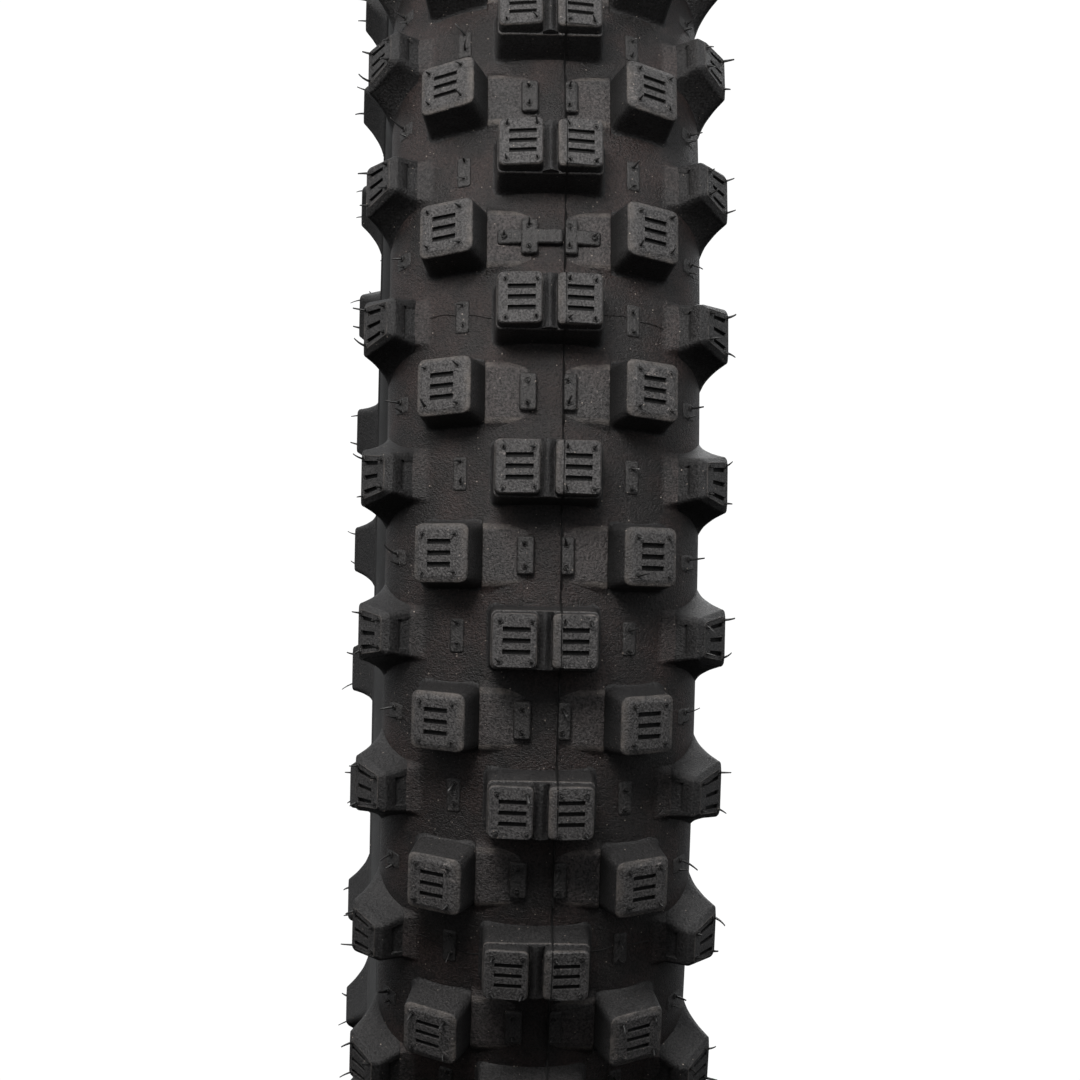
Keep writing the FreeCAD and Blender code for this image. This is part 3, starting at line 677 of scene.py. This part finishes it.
# %% Beads and liner
heel = arc(25.0, 243.6, 2.3, 0, -90, 9)
toe = np.array([[13.6, 241.3], [13.0, 241.9], [12.95, 244.0], [14.4, 248.3], [16.0, 249.6], [26.0, 253.8]])
profile = np.concatenate([[[27.3, 253.8]], heel, toe])
for side, sign in SIDES[::-1]:
    turned_ring(f"rim_strip_{side}", profile * [sign, 1], [f"chafer_{side}"], "bead_rubber", 288)

LINER_CROWN_R, LINER_SHOULDER_R = 73.69, 21.9
liner_y = np.linspace(0, 36.8, 16)
crown_line = np.stack([liner_y, CROWN_CENTRE + np.sqrt(LINER_CROWN_R**2 - liner_y**2)], -1)
shoulder_line = arc(SHOULDER_Y, SHOULDER_CENTRE, LINER_SHOULDER_R, 56, -50, 26)
lining = np.concatenate([crown_line, shoulder_line, [[17.23, 252.96]]])
lining = np.concatenate([lining[:0:-1], lining * [-1, 1]])
backing = np.stack([lining[::-1, 0] * 1.008, lining[::-1, 1] + 0.4], -1)
turned_ring("lining", np.concatenate([lining, backing]), ["inner_liner"], "liner_rubber", 288)

# %% [markdown]
# ## Flash lines
# Where two parts of the mould meet, a little rubber squeezes out as a thin fin. One fin runs round the tire just
# right of the middle, over floor, platform and blocks. Nine more cross the tread, one between each pair of mould
# segments, and they wander a little. A fin is a ridge with a triangular section carried along a path.


# %% Fins
FIN_ROOT = 0.25  # how far a fin's foot lies under the surface


def fin(path, up, side, high, wide):
    """A closed ridge: two foot lines a half width to each side of the path, and a crest line above it."""
    crest = path + up * high
    left, right = path - side * wide - up * FIN_ROOT, path + side * wide - up * FIN_ROOT
    lines = np.stack([left, crest, right], 1)
    number = np.arange(lines.shape[0] * 3).reshape(-1, 3)
    after = np.roll(number, -1, axis=1)
    faces = np.stack([number[:-1], after[:-1], after[1:], number[1:]], -1).reshape(-1, 4)
    ends = np.stack([number[0], number[-1][::-1]])
    return lines.reshape(-1, 3), [faces, ends]


PART_Y = 5.45


def lengthwise_heights(tau):
    """Radius of whatever lies under the parting line at each tau of one pitch, from the pair's middle."""
    floor, top = at(floor_radius, PART_Y), at(block_top, PART_Y) - 0.1
    places = [0.0, 8.9, 9.6, 10.6, 11.6, 12.6, 14.4, 17.0, 17.9, 19.0, 28.07]
    above_floor = [13.6, 6.5, 1.6, 0.5, 0.0, 0.0, 1.6, 2.0, 2.0]
    return np.interp(np.abs(tau), places, [top, top - 0.1] + [floor + high for high in above_floor])


arc_place = np.concatenate([np.linspace(-28.06, -9.7, 22), np.linspace(-9.4, 9.4, 20), np.linspace(9.7, 28.06, 22)])
LINE_R = 321.5
around = (PAIR_ROWS[:, None] + arc_place[None] / LINE_R).reshape(-1)
height = np.tile(lengthwise_heights(arc_place), PITCHES)
wander = 0.12 * np.sin(around * 11.0) + 0.08 * np.sin(around * 47.0 + 1.0)
up = np.stack([np.cos(around), 0 * around, -np.sin(around)], -1)
path = up * height[:, None] + np.stack([0 * around, PART_Y + wander, 0 * around], -1)
lift = (0.42 + 0.1 * np.sin(around * 31.0) + 0.1 * np.sin(around * 83.0))[:, None]
points, faces = fin(path, up, np.array([0.0, 1.0, 0.0]), lift, 0.38)
ring_close = np.arange(len(points)).reshape(-1, 3)
joined = np.stack([ring_close[-1], np.roll(ring_close[-1], -1), np.roll(ring_close[0], -1), ring_close[0]], -1)
make_piece("parting_fin", points[None], [np.concatenate([faces[0], joined])])

SEGMENT_ROWS = PAIR_ROWS[::4] + 2 * PITCH
for number, angle in enumerate(SEGMENT_ROWS):
    pieces = []
    for sign in (1.0, -1.0):
        y = np.linspace(19.5, 52.0, 60)
        tau = 1.3 * np.sin(y * 0.13 + number * 1.7 + sign) + 0.25 * np.sin(y * 0.6 + number) - 0.03 * (y - 30)
        base = from_radius(sign * y, tau, floor_radius(y) + 0.02)
        points, faces = fin(base, np.array([0.0, 0.0, 1.0]), np.array([0.0, 1.0, 0.0]), 0.3, 0.22)
        pieces.append(placed(points, np.array([angle])))
    make_piece(f"segment_fin_{number + 1}", np.concatenate(pieces), faces)

# %% [markdown]
# ## Vent hairs
# Air escapes from the mould through pin holes, and rubber follows it and leaves a thin hair. There are over a
# thousand, so each hair has only a few dozen faces: a four-sided tube along a bent line
# p(s) = foot + length (s n + bend s^2), with a low ring round its foot.


# %% Hair feet
def feet(rows, places):
    """Each hair's rows, foot (y, tau, r), direction (y, tau, r) and reach in millimetres."""
    return [(rows, np.array(foot, float), np.array(way, float), reach) for foot, way, reach in places]


def mirrored(places):
    """The same hairs on the other side of the tire."""
    return [((-y, t, r), (-a, b, c), reach) for (y, t, r), (a, b, c), reach in places]


top_r, outer_r = at(block_top, 10.0), at(block_top, 15.4)


def cap_vents(sign, inner_y, rise, outer_y, places):
    """Two vents at each end of a cap: one near its inner edge and one near its outer edge."""
    return [
        vent
        for inner_t, outer_t in places
        for vent in (
            ((sign * inner_y, inner_t, top_r + rise), (sign * 0.1, 0, 1), 3.0),
            ((sign * outer_y, outer_t, outer_r), (sign * 0.15, 0, 1), 3.0),
        )
    ]


left_caps = cap_vents(-1, 4.8, 0.35, 15.3, ((-6.5, -6.6), (7.0, 7.3)))
right_caps = cap_vents(1, 6.4, 0.3, 15.4, ((-6.5, -6.4), (7.4, 7.5)))
knob = [((y, t, float(on_transition(y))), (0.47, 0, 0.88), 3.4) for y in (31.0, 41.9) for t in (-6.6, 6.6)]
face = [((56.3, t, 313.4), (0.75, 0, 0.6), 3.4) for t in (-4.6, 4.7)]
face += [((62.4, t, 303.9), (0.95, 0, 0.25), 4.2) for t in (-6.4, 6.6)]
row_plate_r = at(floor_radius, 29.5) + 0.75
row_left = [((-29.3, -4.3, row_plate_r), (-0.45, 0, 0.9), 4.0), ((-29.3, 2.7, row_plate_r), (-0.45, 0, 0.9), 4.0)]
row_right = [((29.3, -2.9, row_plate_r), (0.45, 0, 0.9), 4.0), ((29.3, 4.2, row_plate_r), (0.45, 0, 0.9), 4.0)]
tie_r = at(floor_radius, 7.0) + 2.75
tie = [((7.0, t, tie_r), (0.05, 0, 1), 3.0) for t in (-3.9, 3.9)]
rim_r = at(floor_radius, 50.0) + 0.5
edge = [((50.4, -0.4, rim_r), (0.95, 0, 0.3), 5.6), ((49.6, 3.0, rim_r + 0.5), (0.9, 0, 0.4), 3.6)]

groups = feet(PAIR_ROWS, left_caps + right_caps + face + mirrored(face) + row_left + row_right)
groups += feet(TRANSITION_ROWS, knob + mirrored(knob) + tie + mirrored(tie) + edge + mirrored(edge))
bar_vents = [((y, 0.0, tie_r - abs(y) * 0.02), (0.0, 0, 1), 3.0) for y in (-15.6, 15.6)]
groups += feet(BAR_ROWS, bar_vents)

# %% Hair tubes
rng = np.random.default_rng(19)
hairs = []
for rows, foot, way, reach in groups:
    local_foot = from_radius(foot[0:1], foot[1:2], foot[2:3])
    local_way = way[None] / np.linalg.norm(way)
    hairs.append((placed(local_foot, rows)[:, 0], placed(local_way, rows)[:, 0], np.full(len(rows), reach)))
foot, way, reach = (np.concatenate(parts) for parts in zip(*hairs))
count = len(foot)
lean = rng.normal(size=(count, 3))
lean -= way * np.einsum("ij,ij->i", lean, way)[:, None]
lean /= np.linalg.norm(lean, axis=1, keepdims=True)
length = reach * rng.uniform(0.5, 1.1, count)
bend = rng.uniform(0.0, 0.4, count)
start_lean = rng.uniform(0.0, 0.45, count)
s = np.linspace(0, 1, 6)
spine = (
    foot[:, None]
    + length[:, None, None] * s[None, :, None] * (way + lean * start_lean[:, None])[:, None]
    + (length * bend)[:, None, None] * (s**2)[None, :, None] * lean[:, None]
)
across = np.cross(way, lean)
thick = (0.5 * (1 - 0.45 * s))[None, :] * rng.uniform(0.8, 1.15, count)[:, None]
corner = (np.arange(4) * np.pi / 2)[:, None]
section = np.cos(corner) * lean[:, None, None] + np.sin(corner) * across[:, None, None]
tube = spine[:, :, None] + thick[..., None, None] * section
number = np.arange(24).reshape(6, 4)
following = np.roll(number, -1, axis=1)
tube_sides = np.stack([number[:-1], following[:-1], following[1:], number[1:]], -1).reshape(-1, 4)
tube_faces = [tube_sides, np.stack([number[0][::-1], number[-1]])]
ROUND = math.radians(100)
make_piece("vent_hairs", tube.reshape(count, 24, 3), tube_faces, {"top": np.repeat(s, 4)}, sharp=ROUND)

eight = np.arange(8) * np.pi / 4
ring_r, ring_h = np.array([1.15, 1.0, 0.8, 0.62]), np.array([-0.25, 0.1, 0.1, -0.25])
circle = np.cos(eight)[:, None] * np.array([1.0, 0, 0]) + np.sin(eight)[:, None] * np.array([0, 1.0, 0])
disc = ring_r[:, None, None] * circle[None] + ring_h[:, None, None] * np.array([0, 0, 1.0])
basis = np.stack([lean, across, way], 1)
collars = foot[:, None] + np.einsum("pk,hkj->hpj", disc.reshape(-1, 3), basis)
number = np.arange(32).reshape(4, 8)
below, beside = np.roll(number, -1, axis=0), np.roll(number, -1, axis=1)
collar_faces = [np.stack([number, beside, np.roll(beside, -1, axis=0), below], -1).reshape(-1, 4)]
make_piece("vent_collars", collars, collar_faces, sharp=ROUND)
print("vent hairs:", count)

# %% [markdown]
# ## Rubber finish
# Black rubber is never one flat black. It has a fine mould grain, slow patches where release agent stayed, pale dust
# that settles on tops and edges, and a duller look in worn places. Light is painted into the colour as well. The dust
# also makes the tops lighter as a painted sheen, and warm tint patches on the floor are a painted sheen. The rims get
# a painted highlight mixed with rubbed wear. Slot floors, the pocket's outer edge and the coarse panels get painted
# shade, and so do the darker floor rubber and the flash fins. All patterns read Object coordinates, so they sit still
# on the tire. The amount of each is set per material: a tread, a plate, a sidewall.


# %% Material helper
def feed(tree, socket, value):
    """Links another node's output to a socket, or puts a number, vector or colour on it."""
    if isinstance(value, bpy.types.NodeSocket):
        tree.links.new(value, socket)
    elif socket.type == "RGBA" and len(value) == 3:
        socket.default_value = (*value, 1)
    else:
        socket.default_value = value


def node(tree, kind, values=None, **settings):
    """A node with its settings, and with a value or a link on each socket named in values."""
    made = tree.nodes.new(kind)
    for key, value in settings.items():
        setattr(made, key, value)
    for key, value in (values or {}).items():
        feed(tree, made.inputs[key], value)
    return made


def fresh(name):
    """A new material with its tree, its shader and the Object coordinates."""
    material = bpy.data.materials.new(name)
    material.use_nodes = True
    tree = material.node_tree
    return material, tree, tree.nodes["Principled BSDF"], node(tree, "ShaderNodeTexCoord").outputs["Object"]


def noise(tree, place, scale, detail=3.0, stretch=None, roughness=0.55):
    """A noise pattern of Object coordinates: scale is in waves per metre, stretch a factor for each axis."""
    if stretch is not None:
        place = node(tree, "ShaderNodeMapping", {"Vector": place, "Scale": stretch}).outputs["Vector"]
    values = {"Vector": place, "Scale": scale, "Detail": detail, "Roughness": roughness}
    return node(tree, "ShaderNodeTexNoise", values).outputs["Fac"]


def ramp(tree, source, stops):
    """A colour ramp from (position, brightness or colour) stops."""
    made = node(tree, "ShaderNodeValToRGB", {"Fac": source})
    elements = made.color_ramp.elements
    while len(elements) < len(stops):
        elements.new(0.5)
    for element, (place, colour) in zip(elements, stops):
        element.position = place
        element.color = (colour, colour, colour, 1) if isinstance(colour, float) else (*colour, 1)
    return made.outputs["Color"]


def maths(tree, operation, a, b=0.0, clamp=False):
    """One sum of numbers or outputs."""
    return node(tree, "ShaderNodeMath", {0: a, 1: b}, operation=operation, use_clamp=clamp).outputs[0]


def times(tree, a, b, clamp=False):
    """The product of two numbers or outputs."""
    return maths(tree, "MULTIPLY", a, b, clamp)


def mixed(tree, amount, a, b, blend="MIX"):
    """Colour a with the given amount of colour b laid over it, or multiplied into it."""
    return node(tree, "ShaderNodeMix", {0: amount, 6: a, 7: b}, data_type="RGBA", blend_type=blend).outputs[2]


DUST_AND_SHEEN, SCUFF, RUBBED_HIGHLIGHT = (0.108, 0.103, 0.102), (0.22, 0.2, 0.19), (0.16, 0.14, 0.125)
SPECK, PAINTED_SHADE_BLACK = (0.36, 0.31, 0.27), (0.005, 0.005, 0.005)


def bumpy(tree, shader, height, strength, distance):
    """A bump pattern from a height, on the shader's normal."""
    bump = node(tree, "ShaderNodeBump", {"Strength": strength, "Distance": distance, "Height": height})
    tree.links.new(bump.outputs["Normal"], shader.inputs["Normal"])


def rubber(name, dark, light, rough, grain, grain_scale, dust_and_sheen, painted_sheen_tint=None, ripple=0.0, specular=0.5, scuff=0.0):
    """Colour runs from dark to light over slow patches, and a warm tint, where given, lays patches of painted sheen
    over them. Then dust, which also paints the tops lighter as a sheen, and specks lie on it. The rims get a painted
    highlight mixed with rubbed wear, and slot floors and marked panels are painted near black as shade. Grain and
    ripple are the heights of two bump patterns in tenths of a millimetre."""
    material, tree, shader, place = fresh(name)
    top, panel, edge = (
        node(tree, "ShaderNodeAttribute", attribute_name=title).outputs["Fac"] for title in ("top", "panel", "edge")
    )
    fine = noise(tree, place, grain_scale, 4.0, roughness=0.65)
    colour = ramp(tree, noise(tree, place, 26.0, 4.0), [(0.3, dark), (0.72, light)])
    # Warm tint patches: a painted sheen.
    if painted_sheen_tint is not None:
        colour = mixed(tree, ramp(tree, noise(tree, place, 55.0, 3.0), [(0.42, 0.0), (0.62, 0.8)]), colour, painted_sheen_tint)
    # Dust on the marked tops. It also paints the tops lighter than the walls and floor, as a painted sheen.
    colour = mixed(tree, times(tree, top, dust_and_sheen, clamp=True), colour, DUST_AND_SHEEN)
    colour = mixed(tree, 1.0, colour, ramp(tree, fine, [(0.37, 0.3), (0.63, 1.85)]), "MULTIPLY")
    if scuff > 0:
        streak = ramp(tree, noise(tree, place, 320.0, 6.0, (1.0, 0.5, 1.0), 0.75), [(0.57, 0.0), (0.64, 1.0)])
        where = ramp(tree, noise(tree, place, 24.0, 2.0), [(0.55, 0.0), (0.62, 1.0)])
        worn = times(tree, times(tree, streak, where), top)
        colour = mixed(tree, times(tree, worn, scuff), colour, SCUFF)
    # A painted highlight along the rims' rounding (the edge mark), mixed with the rubbed wear there.
    rubbed_highlight = ramp(tree, noise(tree, place, 210.0, 4.0), [(0.4, 0.08), (0.66, 0.5)])
    colour = mixed(tree, times(tree, edge, rubbed_highlight, clamp=True), colour, RUBBED_HIGHLIGHT)
    cells = node(tree, "ShaderNodeTexVoronoi", {"Vector": place, "Scale": 560.0, "Randomness": 1.0}, feature="F1")
    size = node(tree, "ShaderNodeTexWhiteNoise", {"Vector": cells.outputs["Position"]}, noise_dimensions="3D")
    reach = times(tree, maths(tree, "POWER", size.outputs["Value"], 3.5), 0.15)
    speck = maths(tree, "LESS_THAN", cells.outputs["Distance"], reach)
    colour = mixed(tree, times(tree, speck, 0.75), colour, SPECK)
    # Painted shade: slot floors, the shoulder pocket's outer edge and the transition blocks' coarse panels are
    # painted near black.
    colour = mixed(tree, times(tree, panel, 0.85), colour, PAINTED_SHADE_BLACK)
    tree.links.new(colour, shader.inputs["Base Color"])
    rough_now = ramp(tree, noise(tree, place, 60.0, 4.0), [(0.3, rough - 0.07), (0.7, rough + 0.09)])
    rough_now = maths(tree, "ADD", rough_now, times(tree, panel, 0.2), clamp=True)
    tree.links.new(rough_now, shader.inputs["Roughness"])
    shader.inputs["Specular IOR Level"].default_value = specular
    height = times(tree, fine, grain)
    coarse = times(tree, noise(tree, place, 900.0, 4.0), times(tree, panel, 1.6))
    height = maths(tree, "ADD", height, coarse)
    if ripple > 0:
        waves = noise(tree, place, 2400.0, 3.0, (1.0, 0.45, 1.0))
        height = maths(tree, "ADD", height, times(tree, waves, ripple))
    slow = times(tree, noise(tree, place, 90.0, 2.0), 1.2)
    height = maths(tree, "ADD", height, slow)
    bumpy(tree, shader, height, 0.9, 0.0001)
    return material


# %% Rubber materials
knob_rubber = rubber(
    "knob_rubber", (0.0135, 0.0131, 0.0133), (0.0245, 0.0236, 0.0238), 0.5, 6.0, 1350.0, 0.38,
    specular=0.36, scuff=0.8,
)
# About half as bright as knob_rubber: painted shade for the floor between the blocks. Its tint patches are a painted
# sheen.
floor_rubber = rubber(
    "floor_rubber", (0.0062, 0.0053, 0.0052), (0.0135, 0.0113, 0.011), 0.46, 6.0, 1150.0, 0.3,
    painted_sheen_tint=(0.0235, 0.0152, 0.0138), ripple=4.0, specular=0.42,
)
plate_rubber = rubber("plate_rubber", (0.0125, 0.0117, 0.0115), (0.021, 0.0195, 0.019), 0.47, 6.0, 1250.0, 0.18)
# The flash fins are painted near black: painted shade for the thin shadow along each flash line.
flash_rubber = rubber("flash_rubber", (0.004, 0.004, 0.004), (0.007, 0.007, 0.007), 0.45, 0.6, 2600.0, 0.0)
flank_rubber = rubber("flank_rubber", (0.013, 0.013, 0.013), (0.022, 0.022, 0.022), 0.46, 0.9, 3000.0, 0.0)
hair_rubber = rubber("hair_rubber", (0.009, 0.009, 0.009), (0.015, 0.015, 0.015), 0.42, 0.5, 3000.0, 0.12)
liner_finish = rubber("liner_finish", (0.02, 0.02, 0.021), (0.035, 0.035, 0.036), 0.42, 0.8, 1800.0, 0.0)

FINISHES = {
    "centre_caps": knob_rubber, "centre_pair_bodies": knob_rubber, "channel_ribs": knob_rubber,
    "transition_knobs": knob_rubber, "shoulder_knobs": knob_rubber, "shoulder_shelves": floor_rubber,
    "tie_plates": floor_rubber, "platform_plates": plate_rubber, "row_plates": plate_rubber,
    "shoulder_plates": plate_rubber, "wear_bars": plate_rubber, "tread_floor": floor_rubber,
    "flank": flank_rubber, "lining": liner_finish, "parting_fin": flash_rubber, "segment_fin": flash_rubber,
    "vent_hairs": hair_rubber, "vent_collars": plate_rubber,
}


def paint(pieces, finishes):
    """Gives each mesh the finish whose title its name starts with."""
    for title, piece in pieces:
        for start, material in finishes.items():
            if piece.type == "MESH" and title.startswith(start):
                piece.data.materials.clear()
                piece.data.materials.append(material)
                print(f"{title}: {material.name}")


paint(bpy.data.objects.items(), FINISHES)

# %% [markdown]
# ## Fabric and wire
# The parts inside keep their CAD shapes. The plies and strips are rubber-coated cords that run at an angle, so
# their pattern is a wave of the angle round the axle plus the place across. The bead cores are bronze-coated wire.


# %% Fabric and wire materials
def cord_fabric(name, dark, light, slant):
    """Cords: a sine wave of (angle round the axle times a count, plus slant times y), between two colours."""
    material, tree, shader, place = fresh(name)
    apart = node(tree, "ShaderNodeSeparateXYZ", {0: place})
    angle = maths(tree, "ARCTAN2", apart.outputs["Z"], apart.outputs["X"])
    across = times(tree, apart.outputs["Y"], slant)
    phase = maths(tree, "ADD", times(tree, angle, 1200.0), across)
    wave = maths(tree, "ADD", times(tree, maths(tree, "SINE", phase), 0.5), 0.5)
    tree.links.new(ramp(tree, wave, [(0.25, dark), (0.85, light)]), shader.inputs["Base Color"])
    shader.inputs["Roughness"].default_value = 0.72
    bumpy(tree, shader, wave, 0.6, 0.0002)
    return material


ply_cords = cord_fabric("ply_cords", (0.03, 0.028, 0.025), (0.11, 0.095, 0.075), 3600.0)
strip_fabric = cord_fabric("strip_fabric", (0.014, 0.014, 0.014), (0.028, 0.028, 0.028), -2600.0)
wire, wire_tree, wire_shader, wire_place = fresh("bead_wire")
wire_shader.inputs["Metallic"].default_value = 1.0
wire_shader.inputs["Roughness"].default_value = 0.35
bronze = [(0.3, (0.42, 0.3, 0.16)), (0.7, (0.62, 0.48, 0.3))]
wire_colour = ramp(wire_tree, noise(wire_tree, wire_place, 400.0), bronze)
wire_tree.links.new(wire_colour, wire_shader.inputs["Base Color"])

CAD_FINISHES = {
    "breaker": ply_cords, "outer_ply": ply_cords, "inner_ply": ply_cords, "bead_wrap": strip_fabric,
    "bead_filler": flank_rubber, "bead_core": wire,
}
paint(frame["nodes"].items(), CAD_FINISHES)
paint(bpy.data.objects.items(), {"rim_strip": strip_fabric})

# %% [markdown]
# ## Floor, light and camera
# A pale floor fades out far from the tire, so there is no hard horizon. The sky is brightest overhead. A large
# softbox above the front, a little to the left, lights the blocks' tops and upper walls, and weaker ones on both
# sides and behind lift the edges. The camera stands in front of the tread, a little below the axle, with a long
# lens.

# %% Floor
GROUND = -0.3397
floor_mesh = bpy.data.meshes.new("studio_floor")
ring_angle, ring_radius = np.meshgrid(np.linspace(0, 2 * np.pi, 97)[:-1], np.array([0.0, 0.4, 0.8, 1.4, 2.0, 2.8]))
level = np.full_like(ring_angle, GROUND)
floor_points = np.stack([ring_radius * np.cos(ring_angle), ring_radius * np.sin(ring_angle), level], -1)
spots = np.arange(6 * 96).reshape(6, 96)
spot_next = np.roll(spots, -1, axis=1)
floor_faces = np.stack([spots[1:-1], spots[2:], spot_next[2:], spot_next[1:-1]], -1).reshape(-1, 4)
floor_mesh.from_pydata(floor_points.reshape(-1, 3)[96:].tolist(), [], (floor_faces - 96).tolist() + [list(range(96))])
studio_floor = show("studio_floor", floor_mesh)

pale, tree, shader, place = fresh("pale_floor")
shader.inputs["Base Color"].default_value = (0.8, 0.8, 0.8, 1)
shader.inputs["Roughness"].default_value = 0.85
apart = node(tree, "ShaderNodeSeparateXYZ", {0: place})
squares = [maths(tree, "POWER", apart.outputs[axis], 2.0) for axis in "XY"]
away = maths(tree, "SQRT", maths(tree, "ADD", *squares))
fade = maths(tree, "DIVIDE", maths(tree, "SUBTRACT", away, 1.1), 1.6, clamp=True)
clear = node(tree, "ShaderNodeBsdfTransparent")
blend = node(tree, "ShaderNodeMixShader", {0: fade, 1: shader.outputs[0], 2: clear.outputs[0]})
tree.links.new(blend.outputs[0], tree.nodes["Material Output"].inputs["Surface"])
floor_mesh.materials.append(pale)
studio_floor.visible_diffuse = False
studio_floor.visible_glossy = False

# %% Sky
world = bpy.data.worlds.new("studio_sky")
bpy.context.scene.world = world
world.use_nodes = True
sky = world.node_tree
direction = node(sky, "ShaderNodeSeparateXYZ", {0: node(sky, "ShaderNodeTexCoord").outputs["Generated"]})
span = {"From Min": -0.4, "From Max": 0.8, "To Min": 0.012, "To Max": 0.84}
strength = node(sky, "ShaderNodeMapRange", {"Value": direction.outputs["Z"], **span}).outputs["Result"]
dim = node(sky, "ShaderNodeBackground", {"Color": (0.96, 0.98, 1), "Strength": strength})
white = node(sky, "ShaderNodeBackground", {"Color": (1, 1, 1), "Strength": 1.05})
camera_ray = node(sky, "ShaderNodeLightPath").outputs["Is Camera Ray"]
choose = node(sky, "ShaderNodeMixShader", {0: camera_ray, 1: dim.outputs[0], 2: white.outputs[0]})
sky.links.new(choose.outputs[0], sky.nodes["World Output"].inputs["Surface"])


# %% Softboxes
def softbox(name, place, aim, size, power, colour=(1, 1, 1)):
    """A rectangular lamp at place that faces aim: its -Z axis is turned along the line between them."""
    lamp = bpy.data.lights.new(name, "AREA")
    lamp.shape = "RECTANGLE"
    lamp.size, lamp.size_y = size
    lamp.energy = power
    lamp.color = colour
    made = show(name, lamp)
    made.location = place
    made.rotation_euler = (Vector(aim) - Vector(place)).to_track_quat("-Z", "Y").to_euler()
    print(f"{name}: {power} W")


softbox("key_box", (2.0, -0.4, 1.4), (0.3, 0.0, 0.0), (0.8, 0.8), 47.0, (1.0, 0.985, 0.97))
softbox("right_box", (0.2, 1.6, -0.7), (0.2, 0.0, 0.0), (0.9, 0.9), 3.5)
softbox("left_box", (0.9, -1.4, 1.4), (0.2, 0.0, 0.0), (1.0, 1.0), 5.0, (1.0, 0.88, 0.8))
softbox("rear_box", (-1.8, 0.6, 1.4), (0.0, 0.0, 0.0), (1.2, 1.2), 12.0)

# %% Camera
lens = bpy.data.cameras.new("camera")
lens.sensor_width = 36.0
lens.lens = 203.96
camera = show("camera", lens)
camera.location = (2.40051, -0.07094, -0.08387)
camera.rotation_euler = tuple(math.radians(a) for a in (92.45589, -1.03362, 88.05285))
bpy.context.scene.camera = camera
bpy.context.scene.view_settings.view_transform = "Standard"
